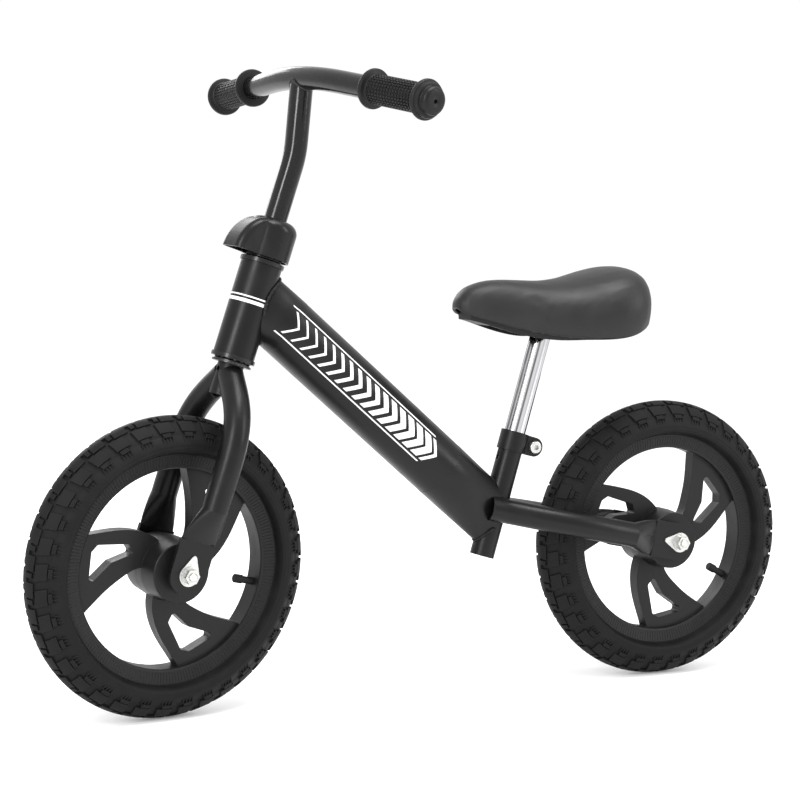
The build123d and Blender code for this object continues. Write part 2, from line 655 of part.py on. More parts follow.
def handlebar_post():
    bend, centre = bar_points()
    path = FilletPolyline((0, 0, POST_FOOT), bend, centre, radius=POST_BEND_RADIUS)
    post = swept_tube(path, BAR_D, BAR_WALL)
    return post - swept_rod(crossbar_path(BAR_BEND_HALF + 15), BAR_D + 2 * WELD)


def crossbar():
    return swept_tube(crossbar_path(GRIP_START + GRIP_LENGTH + 3), BAR_D, BAR_WALL)


def grip(side):
    half = GRIP_FLANGE_THICK / 2
    outer = GRIP_LENGTH
    profile = [
        (BAR_D / 2 + SEAT, -half), (GRIP_FLANGE_D / 2 - 1, -half), (GRIP_FLANGE_D / 2, -half + 1),
        (GRIP_FLANGE_D / 2, half - 1), (GRIP_FLANGE_D / 2 - 1, half), (GRIP_D / 2 + 1, half),
        (GRIP_D / 2, half + 1), (GRIP_D / 2, outer - half - 1), (GRIP_D / 2 + 1, outer - half),
        (GRIP_FLANGE_D / 2 - 1, outer - half), (GRIP_FLANGE_D / 2, outer - half + 1),
        (GRIP_FLANGE_D / 2, outer + half - 1), (GRIP_FLANGE_D / 2 - 1, outer + half),
        (GRIP_CAP_D / 2, outer + half), (GRIP_CAP_D / 2, outer + half + 2.4),
        (GRIP_CAP_D / 2 - 1.2, outer + half + 3.6), (GRIP_CAP_D / 2 - 3.4, outer + half + 3.6),
        (GRIP_CAP_D / 2 - 3.4, GRIP_CAP_END - 3.4), (GRIP_CAP_D / 2 - 4.6, GRIP_CAP_END - 1.2),
        (GRIP_CAP_D / 2 - 6.6, GRIP_CAP_END), (1.6, GRIP_CAP_END), (1.6, GRIP_CAP_END - 3), (0, GRIP_CAP_END - 3),
        (0, GRIP_CAP_END - 5.5), (BAR_D / 2 + SEAT, GRIP_CAP_END - 5.5),
    ]
    return grip_frame(side) * turned(profile)


# ================================================================ saddle
SADDLE_NOSE_X = SEAT_NODE[0] + SADDLE_NOSE_AHEAD
SADDLE_LOW = SEAT_NODE[2] + SADDLE_ABOVE_NODE
# along the length from nose to tail: width, lower edge and top as shares of the overall sizes
SADDLE_FORM = [
    (0.004, 0.075, 0.400, 0.455), (0.020, 0.180, 0.350, 0.560), (0.060, 0.285, 0.300, 0.690),
    (0.155, 0.370, 0.225, 0.785), (0.255, 0.440, 0.140, 0.808), (0.370, 0.540, 0.065, 0.795),
    (0.470, 0.665, 0.020, 0.785), (0.590, 0.835, 0.000, 0.825), (0.700, 0.950, 0.000, 0.910),
    (0.800, 1.000, 0.030, 0.980), (0.880, 0.960, 0.095, 1.000), (0.945, 0.800, 0.200, 0.945),
    (0.983, 0.560, 0.330, 0.820), (0.998, 0.300, 0.460, 0.680),
]


def saddle_section(x, half, low, high):
    rise = high - low
    shape = [(-0.93, 0.0), (-0.985, 0.16), (-1.0, 0.38), (-0.9, 0.68), (-0.56, 0.92), (0, 1.0)]
    shape = shape + [(-a, b) for a, b in reversed(shape[:-1])]
    curve = Spline(*[(x, a * half, low + b * rise) for a, b in shape])
    return make_face([curve, Line(curve @ 0, curve @ 1)])


def saddle_form(inset, top_inset, lower, first, last):
    sections = []
    for u, width, low, high in SADDLE_FORM[first:last]:
        x = SADDLE_NOSE_X - u * SADDLE_LENGTH
        half = width * SADDLE_WIDTH / 2 - inset
        z0 = SADDLE_LOW + low * SADDLE_TALL - lower(u)
        z1 = SADDLE_LOW + high * SADDLE_TALL - top_inset
        sections.append(saddle_section(x, half, z0, z1))
    return loft(sections)


def saddle_cushion():
    outer = saddle_form(0, 0, lambda u: 0, 0, 14)
    return outer - saddle_form(SADDLE_SKIRT, SADDLE_PAD, base_drop, 2, 13)


def base_drop(u):
    # the base stands a little below the cushion's edge, and further under the nose
    return 0.8 + (SADDLE_BASE_LIP - 0.8) * max(0.0, min(1.0, (0.62 - u) / 0.2))


def plate_frame():
    top = SADDLE_LOW + PLATE_ABOVE_EDGE
    lean = (top - SEAT_NODE[2]) / tan(radians(SEAT_ANGLE))
    return Pos(SEAT_NODE[0] - lean, 0, top)


SCREW_PLACES = [(x * 21, y * 11.5) for x in (1, -1) for y in SIDES]


def saddle_base():
    outer = saddle_form(SADDLE_SKIRT + SOFT, SADDLE_PAD + SOFT, base_drop, 2, 13)
    wall = SADDLE_BASE_WALL
    inner = saddle_form(SADDLE_SKIRT + SOFT + wall, SADDLE_PAD + SOFT + wall, lambda u: 8, 3, 12)
    base = outer - inner
    for x, y in SCREW_PLACES:
        boss = Pos(x, y, 0) * (rod(10, PLATE_THICK, 60) - rod(SCREW_D + 2 * SEAT, PLATE_THICK - 1, 20))
        base += (plate_frame() * boss) & outer
    return base


def seat_post():
    long_post = SEAT_AXIS * ring(SEAT_POST_D, SEAT_POST_D - 2 * SEAT_POST_WALL, POST_LOW, 260)
    return biggest(long_post & block(-500, 500, -100, 100, 0, SADDLE_LOW + PLATE_ABOVE_EDGE))


def post_plate():
    plate = block(-PLATE_LENGTH / 2, PLATE_LENGTH / 2, -PLATE_WIDTH / 2, PLATE_WIDTH / 2, 0, PLATE_THICK)
    plate = fillet(plate.edges().filter_by(Axis.Z), 6)
    for x, y in SCREW_PLACES:
        plate -= Pos(x, y, 0) * rod(SCREW_D + 0.5, -1, PLATE_THICK + 1)
    return plate_frame() * plate


def saddle_screws():
    screws = []
    for x, y in SCREW_PLACES:
        head = fillet(rod(SCREW_HEAD_D, -3.2, 0).edges().sort_by(Axis.Z)[0], 1.2)
        screws.append(plate_frame() * Pos(x, y, 0) * (head + rod(SCREW_D, 0, 16)))
    return Compound(children=screws)


# ================================================================ assembly
REAR_HUB = Pos(*REAR_AXLE) * ALONG_Y
FRONT_HUB = STEER_TURN * Pos(*FRONT_AXLE) * ALONG_Y


def toward_in_hub(hub, direction):
    # a world direction as (x, y) in the hub's own frame
    local = hub.inverse() * Location(direction)
    zero = hub.inverse() * Location((0, 0, 0))
    v = (local.position - zero.position).normalized()
    return (v.X, v.Y)


def save_wheel(name, hub, phase):
    spin = hub * Rot(0, 0, phase)
    save(name + "_rim", spin * rim())
    save(name + "_tyre", spin * tyre())
    save(name + "_air_tube", spin * air_tube())
    save(name + "_valve", spin * valve())
    save(name + "_bearing_outer_rings", spin * bearing_outer_rings())
    save(name + "_bearing_balls", spin * bearing_balls())
    save(name + "_hub_seals", spin * hub_seals())


def save_axle_set(name, hub, toward):
    save(name + "_axle", hub * axle())
    save(name + "_axle_nuts", hub * axle_nuts())
    save(name + "_tab_washers", hub * tab_washers(toward))
    save(name + "_axle_spacers", hub * axle_spacers())
    save(name + "_bearing_inner_rings", hub * bearing_inner_rings())
    save(name + "_axle_sleeve", hub * axle_sleeve())


def save_frame():
    save("down_tube", down_tube())
    save("head_tube", head_tube())
    save("seat_tube", seat_tube())
    save("chain_stay_left", chain_stay(1))
    save("chain_stay_right", chain_stay(-1))
    save("headset_cup_lower", STEER_AXIS * HEAD_BOTTOM * cup_form())
    save("headset_cup_upper", STEER_AXIS * HEAD_TOP * cup_form())
    save("seat_clamp_collar", SEAT_AXIS * REARWARD * clamp_collar(SEAT_TUBE_D, *SEAT_COLLAR, 1.5))
    save("seat_clamp_bolt", SEAT_AXIS * mirror(REARWARD * clamp_bolt(*SEAT_COLLAR), Plane.XZ))
    save("seat_clamp_nut", SEAT_AXIS * mirror(REARWARD * clamp_nut(*SEAT_COLLAR), Plane.XZ))
    stay = (cos(radians(STAY_ANGLE)), 0, sin(radians(STAY_ANGLE)))
    save_axle_set("rear", REAR_HUB, toward_in_hub(REAR_HUB, stay))


def save_fork():
    save("steerer_tube", STEER * steerer_tube())
    save("fork_leg_left", STEER * fork_leg(1))
    save("fork_leg_right", STEER * fork_leg(-1))
    save("crown_race", STEER * HEAD_BOTTOM * crown_race())
    save("headset_nut", STEER * HEAD_TOP * headset_nut())
    save("headset_balls_lower", STEER * HEAD_BOTTOM * headset_balls())
    save("headset_balls_upper", STEER * HEAD_TOP * headset_balls())
    save("stem_clamp_collar", STEER * clamp_collar(STEERER_D, *STEM_COLLAR, 0))
    save("stem_clamp_bolt", STEER * clamp_bolt(*STEM_COLLAR))
    save("stem_clamp_nut", STEER * clamp_nut(*STEM_COLLAR))
    save("clamp_cover", STEER * clamp_cover())
    up = STEER * Location((0, 0, 1))
    direction = up.position - STEER.position
    save_axle_set("front", FRONT_HUB, toward_in_hub(FRONT_HUB, tuple(direction)))


def save_handlebar():
    save("handlebar_post", STEER * handlebar_post())
    save("handlebar_crossbar", STEER * crossbar())
    save("grip_left", STEER * grip(1))
    save("grip_right", STEER * grip(-1))


def save_seat():
    save("saddle_cushion", saddle_cushion())
    save("saddle_base", saddle_base())
    save("seat_post", seat_post())
    save("seat_post_plate", post_plate())
    save("saddle_screws", saddle_screws())


os.makedirs("parts", exist_ok=True)
save_frame()
save_fork()
save_handlebar()
save_seat()
save_wheel("front_wheel", FRONT_HUB, FRONT_SPOKE_PHASE)
save_wheel("rear_wheel", REAR_HUB, REAR_SPOKE_PHASE)
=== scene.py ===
"""Visual model of a small balance bike: tyres, wheels, frame, fork, handlebar, saddle and studio."""

import json
import logging
import math
from dataclasses import dataclass, field
from enum import Enum
from typing import Any, Callable, Iterable, Optional, Sequence, Union

import bmesh
import bpy
import numpy as np
from mathutils import Matrix, Vector


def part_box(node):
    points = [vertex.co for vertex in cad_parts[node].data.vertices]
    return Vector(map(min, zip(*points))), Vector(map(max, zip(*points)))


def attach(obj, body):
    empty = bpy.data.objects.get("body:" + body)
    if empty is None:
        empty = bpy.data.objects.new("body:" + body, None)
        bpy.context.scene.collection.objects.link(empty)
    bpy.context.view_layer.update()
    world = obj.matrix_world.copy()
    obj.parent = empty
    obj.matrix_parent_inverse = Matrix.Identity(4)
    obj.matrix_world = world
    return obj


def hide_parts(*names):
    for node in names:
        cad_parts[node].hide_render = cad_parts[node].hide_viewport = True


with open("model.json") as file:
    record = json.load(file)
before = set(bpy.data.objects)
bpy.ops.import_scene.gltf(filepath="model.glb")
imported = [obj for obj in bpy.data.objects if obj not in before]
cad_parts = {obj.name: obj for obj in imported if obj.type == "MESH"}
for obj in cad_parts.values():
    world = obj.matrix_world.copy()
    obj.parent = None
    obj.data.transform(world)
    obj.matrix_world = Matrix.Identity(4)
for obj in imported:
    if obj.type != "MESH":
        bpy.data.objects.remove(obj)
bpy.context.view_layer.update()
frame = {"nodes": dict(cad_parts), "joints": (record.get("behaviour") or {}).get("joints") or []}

logging.basicConfig(level=logging.INFO, format="%(message)s")
LOG = logging.getLogger("balance_bike")

MM = 0.001
FULL_TURN = 2.0 * math.pi

Colour = tuple[float, float, float]
Loop = list[tuple[float, float]]
Number = Union[int, float]


class Body(str, Enum):
    """The moving bodies of the bike."""

    FRAME = "frame"
    FORK = "fork"
    HANDLEBAR = "handlebar"
    SEAT = "seat"
    FRONT_WHEEL = "front_wheel"
    REAR_WHEEL = "rear_wheel"


class Hand(Enum):
    """The rider's left or right side, as the sign of y."""

    LEFT = 1
    RIGHT = -1


# ------------------------------------------------------------------ node graphs
def _operator(operation: str, swapped: bool = False) -> Callable[..., "Wire"]:
    """Makes a Wire method for one Math operation.

    Args:
        operation: the Math node's operation.
        swapped: puts the other value first.

    Returns:
        The method.
    """

    def method(self: "Wire", *others: Any) -> "Wire":
        """Applies the operation."""
        values = (*others, self) if swapped else (self, *others)
        return self.graph.math(operation, *values)

    return method


class Wire:
    """An output socket on which Python arithmetic adds Math nodes."""

    __add__ = _operator("ADD")
    __radd__ = __add__
    __mul__ = _operator("MULTIPLY")
    __rmul__ = __mul__
    __sub__ = _operator("SUBTRACT")
    __rsub__ = _operator("SUBTRACT", swapped=True)
    __truediv__ = _operator("DIVIDE")
    __mod__ = _operator("FLOORED_MODULO")
    __lt__ = _operator("LESS_THAN")
    __gt__ = _operator("GREATER_THAN")
    __abs__ = _operator("ABSOLUTE")

    def __init__(self, graph: "Graph", socket: Any) -> None:
        """Holds the socket and the graph it belongs to."""
        self.graph = graph
        self.socket = socket


class Graph:
    """Builds a shader tree or a geometry tree."""

    def __init__(self, tree: bpy.types.NodeTree) -> None:
        """Takes the tree to build in."""
        self.tree = tree

    def node(
        self,
        kind: str,
        settings: Optional[dict[str, Any]] = None,
        inputs: Optional[dict[Any, Any]] = None,
    ) -> bpy.types.Node:
        """Adds one node.

        Args:
            kind: the node's type name.
            settings: properties to set first.
            inputs: value, Wire or socket for each input, by name or index.

        Returns:
            The new node.
        """
        node = self.tree.nodes.new(kind)
        for key, value in (settings or {}).items():
            setattr(node, key, value)
        for key, value in (inputs or {}).items():
            self.feed(node.inputs[key], value)
        return node

    def feed(self, socket: Any, value: Any) -> None:
        """Links a Wire or socket to an input, or sets the input's own value."""
        if isinstance(value, Wire):
            self.tree.links.new(value.socket, socket)
        elif isinstance(value, bpy.types.NodeSocket):
            self.tree.links.new(value, socket)
        elif isinstance(value, tuple) and len(value) == 3 and socket.type == "RGBA":
            socket.default_value = (*value, 1.0)
        else:
            socket.default_value = value

    def wire(self, node: bpy.types.Node, output: Any = 0) -> Wire:
        """One output of a node as a Wire."""
        return Wire(self, node.outputs[output])

    def math(self, operation: str, *values: Any, clamp: bool = False) -> Wire:
        """A Math node over Wires and numbers."""
        settings = {"operation": operation, "use_clamp": clamp}
        return self.wire(self.node("ShaderNodeMath", settings, dict(enumerate(values))))

    def vector(self, operation: str, *values: Any, output: Any = 0) -> Wire:
        """A Vector Math node; vectors and Wires in, one output out."""
        node = self.node("ShaderNodeVectorMath", {"operation": operation}, dict(enumerate(values)))
        return self.wire(node, output)

    def mix(self, factor: Any, first: Any, second: Any) -> Wire:
        """Mixes two colours by a factor."""
        settings = {"data_type": "RGBA", "clamp_factor": True}
        node = self.node("ShaderNodeMix", settings, {0: factor, 6: first, 7: second})
        return self.wire(node, 2)

    def band(
        self, value: Any, low: Number, high: Number, to_low: Number = 0.0, to_high: Number = 1.0
    ) -> Wire:
        """Rescales a value from one range to another, with smooth ends."""
        settings = {"interpolation_type": "SMOOTHSTEP", "clamp": True}
        inputs = {"Value": value, "From Min": low, "From Max": high, "To Min": to_low, "To Max": to_high}
        return self.wire(self.node("ShaderNodeMapRange", settings, inputs))

    def place(self) -> Wire:
        """The point on the piece, in metres, in the bike's own frame."""
        return self.wire(self.node("ShaderNodeTexCoord"), "Object")

    def noise(self, place: Any, scale: Number, detail: Number = 3.0, rough: Number = 0.55) -> Wire:
        """Fractal noise from 0 to 1, with the scale in cells per metre."""
        inputs = {"Vector": place, "Scale": scale, "Detail": detail, "Roughness": rough}
        return self.wire(self.node("ShaderNodeTexNoise", {}, inputs))

    def grains(self, place: Any, scale: Number) -> Wire:
        """Distance to the nearest grain centre, with the scale in cells per metre."""
        return self.wire(self.node("ShaderNodeTexVoronoi", {}, {"Vector": place, "Scale": scale}))

    def bump(self, height: Any, depth: Number, normal: Any = None) -> Wire:
        """Turns a height from 0 to 1 into a surface normal, with the depth in metres."""
        inputs = {"Height": height, "Distance": depth, "Strength": 1.0}
        if normal is not None:
            inputs["Normal"] = normal
        return self.wire(self.node("ShaderNodeBump", {}, inputs))

    def soft_edges(self, radius: Number) -> Wire:
        """The surface normal with its sharp edges rounded."""
        return self.wire(self.node("ShaderNodeBevel", {"samples": 4}, {"Radius": radius}))

    def edge_mask(self, rounded: Wire) -> Wire:
        """Rises from 0 on flat faces towards 1 along sharp edges."""
        true_normal = self.wire(self.node("ShaderNodeNewGeometry"), "Normal")
        alike = self.vector("DOT_PRODUCT", rounded, true_normal, output="Value")
        return self.band(1.0 - alike, 0.01, 0.16)

    def along(self, place: Any, start: Vector, direction: Vector) -> Wire:
        """Distance of a place from a plane through start, along direction."""
        offset = self.vector("SUBTRACT", place, tuple(start))
        return self.vector("DOT_PRODUCT", offset, tuple(direction), output="Value")


# ------------------------------------------------------------------ finishes
def times(share: float, colour: Colour) -> Colour:
    """A colour made brighter or darker by a share."""
    return tuple(share * c for c in colour)


MADE: dict[str, bpy.types.Material] = {}


@dataclass(frozen=True)
class Finish:
    """A surface finish, made into a material the first time it is asked for."""

    name: str
    colour: Colour = (0.02, 0.02, 0.02)
    roughness: float = 0.5
    specular: float = 0.22

    def material(self) -> bpy.types.Material:
        """Returns the finish's material, building its nodes once."""
        if self.name in MADE:
            return MADE[self.name]
        material = MADE[self.name] = bpy.data.materials.new("finish_" + self.name)
        material.use_nodes = True
        material.node_tree.nodes.clear()
        graph = Graph(material.node_tree)
        inputs = {"Base Color": self.colour, "Roughness": self.roughness, "Specular IOR Level": self.specular}
        shader = graph.node("ShaderNodeBsdfPrincipled", {}, inputs)
        self.dress(graph, shader, graph.place())
        graph.node("ShaderNodeOutputMaterial", {}, {"Surface": shader.outputs["BSDF"]})
        material.diffuse_color = (*self.colour, 1.0)
        return material

    def dress(self, graph: Graph, shader: bpy.types.Node, place: Wire) -> None:
        """Adds this finish's detail to a plain shader.

        Args:
            graph: the material's graph.
            shader: its Principled shader.
            place: the point on the piece in metres.
        """

    def lay_on(self, *objects: bpy.types.Object) -> None:
        """Gives this finish to whole objects."""
        for item in objects:
            item.data.materials.clear()
            item.data.materials.append(self.material())
            item.data.polygons.foreach_set("material_index", [0] * len(item.data.polygons))


@dataclass(frozen=True)
class SatinPaint(Finish):
    """Black powder coat: fine orange peel, faint dust and lighter worn edges."""

    name: str = "satin_black_powder_coat"
    colour: Colour = (0.0040, 0.0040, 0.0043)
    roughness: float = 0.33
    peel_depth: float = 0.00004
    worn: Colour = (0.022, 0.022, 0.023)

    def dress(self, graph: Graph, shader: bpy.types.Node, place: Wire) -> None:
        """Adds peel, dust and edge wear."""
        rounded = graph.soft_edges(0.0006)
        peel = graph.noise(place, 900.0, 2.0)
        dust = graph.noise(place, 26.0, 4.0)
        specks = graph.band(graph.noise(place, 2600.0, 1.0), 0.66, 0.74)
        edges = graph.edge_mask(rounded) * graph.band(graph.noise(place, 220.0), 0.35, 0.7)
        coat = graph.mix(graph.band(dust, 0.45, 0.75) * 0.5, self.colour, times(1.7, self.colour))
        coat = graph.mix(edges * 0.8, coat, self.worn)
        coat = self.decorate(graph, coat, place)
        graph.feed(shader.inputs["Base Color"], coat)
        rough = graph.band(dust, 0.3, 0.8, self.roughness - 0.03, self.roughness + 0.09)
        graph.feed(shader.inputs["Roughness"], rough + specks * 0.12)
        graph.feed(shader.inputs["Normal"], graph.bump(peel + specks * 0.6, self.peel_depth, rounded))

    def decorate(self, graph: Graph, coat: Wire, place: Wire) -> Wire:
        """Lays decoration over the paint; plain paint has none."""
        return coat


@dataclass(frozen=True)
class StripedPaint(SatinPaint):
    """Satin paint with white chevrons that thin out between two lines on both flanks."""

    name: str = "satin_black_with_chevrons"
    start: tuple[float, float, float] = (0.0, 0.0, 0.0)
    direction: tuple[float, float, float] = (1.0, 0.0, 0.0)
    across: tuple[float, float, float] = (0.0, 0.0, 1.0)
    first: float = 0.1
    last: float = 0.3
    half: float = 0.0125
    pitch: float = 0.0125
    slant: float = 0.8
    line_gap: float = 0.0022
    line_width: float = 0.0012
    ink: Colour = (0.72, 0.72, 0.72)

    def decorate(self, graph: Graph, coat: Wire, place: Wire) -> Wire:
        """Paints the chevrons and lines with slightly ragged printed edges."""
        along = graph.along(place, Vector(self.start), Vector(self.direction))
        side = graph.along(place, Vector(self.start), Vector(self.across))
        ragged = (graph.noise(place, 1500.0, 1.0) - 0.5) * 0.0004
        height = abs(side)
        along = along - height * self.slant + ragged
        inside = (along > self.first) * (along < self.last)
        width = graph.band(along, self.first, self.last, 0.72, 0.2)
        bars = ((along / self.pitch) % 1.0 < width) * (height < self.half)
        edge = self.half + self.line_gap
        lines = (height > edge) * (height < edge + self.line_width)
        ink = graph.math("ADD", bars, lines, clamp=True) * inside
        worn = graph.band(graph.noise(place, 700.0, 3.0), 0.2, 0.3, 0.82, 1.0)
        return graph.mix(ink * worn, coat, self.ink)


@dataclass(frozen=True)
class BandedPaint(SatinPaint):
    """Satin paint with two thin white bands round the tube."""

    name: str = "satin_black_with_white_bands"
    start: tuple[float, float, float] = (0.0, 0.0, 0.0)
    direction: tuple[float, float, float] = (0.0, 0.0, 1.0)
    bands: tuple[tuple[float, float], ...] = ((0.262, 0.0016), (0.2665, 0.0007))
    ink: Colour = (0.72, 0.72, 0.72)

    def decorate(self, graph: Graph, coat: Wire, place: Wire) -> Wire:
        """Paints the bands."""
        height = graph.along(place, Vector(self.start), Vector(self.direction))
        ink: Any = 0.0
        for middle, half in self.bands:
            ink = (abs(height - middle) < half) + ink
        worn = graph.band(graph.noise(place, 700.0, 3.0), 0.2, 0.3, 0.8, 1.0)
        return graph.mix(ink * worn, coat, self.ink)


@dataclass(frozen=True)
class GlossPaint(Finish):
    """Glossy black lacquer with long soft ripples and hair scratches."""

    name: str = "gloss_black_lacquer"
    colour: Colour = (0.0035, 0.0035, 0.0038)
    roughness: float = 0.14
    specular: float = 0.3

    def dress(self, graph: Graph, shader: bpy.types.Node, place: Wire) -> None:
        """Adds ripples, scratches and finger marks."""
        rounded = graph.soft_edges(0.0004)
        ripple = graph.noise(place, 130.0, 1.0)
        stretched = graph.vector("MULTIPLY", place, (900.0, 260.0, 900.0))
        scratch = graph.band(graph.noise(stretched, 1.0, 2.0), 0.62, 0.7)
        marks = graph.band(graph.noise(place, 42.0, 5.0), 0.45, 0.8)
        graph.feed(shader.inputs["Base Color"], graph.mix(scratch * 0.4, self.colour, (0.03, 0.03, 0.03)))
        graph.feed(shader.inputs["Roughness"], marks * 0.12 + scratch * 0.1 + self.roughness)
        graph.feed(shader.inputs["Normal"], graph.bump(ripple, 0.00012, rounded))
        shader.inputs["Coat Weight"].default_value = 0.12
        shader.inputs["Coat Roughness"].default_value = 0.06


@dataclass(frozen=True)
class Chrome(Finish):
    """Plated tube with painted reflections: near-black stripes over the bright plate, polish lines along it, and faint
    clouding.
    """

    name: str = "bright_chrome_plate"
    colour: Colour = (0.70, 0.70, 0.72)
    roughness: float = 0.09
    painted_reflection_colour: Colour = (0.07, 0.07, 0.075)
    start: tuple[float, float, float] = (0.0, 0.0, 0.0)
    direction: tuple[float, float, float] = (0.0, 0.0, 1.0)

    def dress(self, graph: Graph, shader: bpy.types.Node, place: Wire) -> None:
        """Adds painted reflection stripes and polish lines that run along the tube."""
        offset = graph.vector("SUBTRACT", place, tuple(self.start))
        height = graph.vector("DOT_PRODUCT", offset, tuple(self.direction), output="Value")
        inputs = {0: tuple(self.direction), 3: height}
        run = graph.wire(graph.node("ShaderNodeVectorMath", {"operation": "SCALE"}, inputs))
        round_way = graph.vector("SUBTRACT", offset, run)
        # painted reflection: near-black stripes along the tube stand in for reflected dim parts of the studio
        painted_reflection_stripes = graph.band(graph.noise(round_way, 230.0, 1.0), 0.47, 0.60)
        lines = graph.noise(round_way, 2600.0, 2.0)
        cloud = graph.noise(place, 75.0, 4.0)
        plate = graph.mix(painted_reflection_stripes * 0.85, self.colour, self.painted_reflection_colour)
        plate = graph.mix(graph.band(cloud, 0.4, 0.8) * 0.3, plate, (0.45, 0.45, 0.46))
        graph.feed(shader.inputs["Metallic"], 1.0)
        graph.feed(shader.inputs["Base Color"], plate)
        graph.feed(shader.inputs["Roughness"], graph.band(cloud, 0.3, 0.8, self.roughness, 0.2))
        graph.feed(shader.inputs["Normal"], graph.bump(lines, 0.000012))


@dataclass(frozen=True)
class Zinc(Finish):
    """Zinc-plated steel: cloudy grey with a trace of yellow and small dents."""

    name: str = "bright_zinc_plate"
    colour: Colour = (0.56, 0.56, 0.55)
    roughness: float = 0.3
    tint: Colour = (0.62, 0.57, 0.44)

    def dress(self, graph: Graph, shader: bpy.types.Node, place: Wire) -> None:
        """Adds clouding, tint and tool marks."""
        rounded = graph.soft_edges(0.0003)
        cloud = graph.noise(place, 420.0, 4.0)
        tint = graph.band(graph.noise(place, 150.0, 2.0), 0.5, 0.75)
        plate = graph.mix(tint * 0.4, self.colour, self.tint)
        plate = graph.mix(graph.band(cloud, 0.5, 0.85) * 0.6, plate, (0.3, 0.3, 0.3))
        graph.feed(shader.inputs["Metallic"], 1.0)
        graph.feed(shader.inputs["Base Color"], plate)
        graph.feed(shader.inputs["Roughness"], graph.band(cloud, 0.3, 0.8, self.roughness, self.roughness + 0.16))
        graph.feed(shader.inputs["Normal"], graph.bump(cloud, 0.00005, rounded))


@dataclass(frozen=True)
class MouldedPlastic(Finish):
    """Black moulded plastic: fine spark texture, flow marks and rounded edges."""

    name: str = "black_moulded_plastic"
    colour: Colour = (0.0058, 0.0058, 0.0062)
    roughness: float = 0.42
    grain: float = 0.00003
    scale: float = 1800.0

    def dress(self, graph: Graph, shader: bpy.types.Node, place: Wire) -> None:
        """Adds the texture and lighter rubbed edges."""
        rounded = graph.soft_edges(0.0008)
        spark = graph.noise(place, self.scale, 3.0)
        flow = graph.noise(graph.vector("MULTIPLY", place, (60.0, 60.0, 22.0)), 1.0, 4.0)
        edges = graph.edge_mask(rounded)
        body = graph.mix(graph.band(flow, 0.4, 0.75) * 0.6, self.colour, times(1.6, self.colour))
        body = graph.mix(edges * 0.35, body, times(3.2, self.colour))
        graph.feed(shader.inputs["Base Color"], body)
        graph.feed(shader.inputs["Roughness"], graph.band(flow, 0.3, 0.8, self.roughness - 0.04, self.roughness + 0.1))
        seam = self.seam(graph, place)
        graph.feed(shader.inputs["Normal"], graph.bump(spark * 0.5 + seam * 3.0, self.grain, rounded))

    def seam(self, graph: Graph, place: Wire) -> Any:
        """Height of the parting line; plain plastic has none."""
        return 0.0 * graph.noise(place, 10.0, 0.0)


@dataclass(frozen=True)
class WheelPlastic(MouldedPlastic):
    """Moulded plastic with the mould's parting line round the wheel's middle."""

    name: str = "black_wheel_plastic"
    middle: tuple[float, float, float] = (0.0, 0.0, 0.0)
    axis: tuple[float, float, float] = (0.0, 1.0, 0.0)

    def seam(self, graph: Graph, place: Wire) -> Any:
        """A thin raised line on the wheel's middle plane."""
        offset = abs(graph.along(place, Vector(self.middle), Vector(self.axis)))
        return graph.band(offset, 0.00008, 0.0003, 1.0, 0.0)


@dataclass(frozen=True)
class Rubber(Finish):
    """Black rubber: matte, dusty in its hollows and greyer along its sharp edges."""

    name: str = "tyre_rubber"
    colour: Colour = (0.0060, 0.0060, 0.0064)
    roughness: float = 0.6
    specular: float = 0.12
    dusty: Colour = (0.0145, 0.0145, 0.0150)
    grain_scale: float = 1300.0
    grain_depth: float = 0.00006
    edge_radius: float = 0.0005

    def dress(self, graph: Graph, shader: bpy.types.Node, place: Wire) -> None:
        """Adds grain, dust and lighter sharp edges."""
        rounded = graph.soft_edges(self.edge_radius)
        grain = graph.noise(place, self.grain_scale, 4.0)
        dust = graph.noise(place, 48.0, 5.0)
        edges = graph.edge_mask(rounded) * graph.band(graph.noise(place, 320.0), 0.25, 0.6)
        body = graph.mix(graph.band(dust, 0.42, 0.75) * 0.4, self.colour, self.dusty)
        # lighter along sharp edges, broken up by noise
        body = graph.mix(edges * 0.6, body, times(3.0, self.dusty))
        graph.feed(shader.inputs["Base Color"], body)
        graph.feed(shader.inputs["Roughness"], graph.band(dust, 0.3, 0.8, self.roughness - 0.05, self.roughness + 0.12))
        graph.feed(shader.inputs["Normal"], graph.bump(grain, self.grain_depth, rounded))


@dataclass(frozen=True)
class SaddleSkin(Finish):
    """Soft matte skin over foam: pebbled grain with painted shade in its crevices, pores and slight creasing."""

    name: str = "saddle_skin"
    colour: Colour = (0.0085, 0.0085, 0.0090)
    roughness: float = 0.44
    specular: float = 0.3

    def dress(self, graph: Graph, shader: bpy.types.Node, place: Wire) -> None:
        """Adds pebbled grain, painted shade in the grain's crevices, pores and soft colour changes."""
        pebble_grain_and_crevice_shade = graph.band(graph.grains(place, 950.0), 0.1, 0.75)
        pores = graph.band(graph.noise(place, 3600.0, 2.0), 0.6, 0.7)
        cloud = graph.noise(place, 30.0, 4.0)
        body = graph.mix(graph.band(cloud, 0.35, 0.75), self.colour, times(1.45, self.colour))
        # painted shade: the crevices between the pebbled grain's cells are darkened
        body = graph.mix(pebble_grain_and_crevice_shade * 0.25, body, times(0.7, self.colour))
        graph.feed(shader.inputs["Base Color"], body)
        graph.feed(shader.inputs["Roughness"], graph.band(cloud, 0.3, 0.8, self.roughness, self.roughness + 0.1))
        graph.feed(shader.inputs["Normal"], graph.bump(1.0 - pebble_grain_and_crevice_shade * 0.8 - pores * 0.3, 0.00005))
        shader.inputs["Sheen Weight"].default_value = 0.006
        shader.inputs["Sheen Roughness"].default_value = 0.4


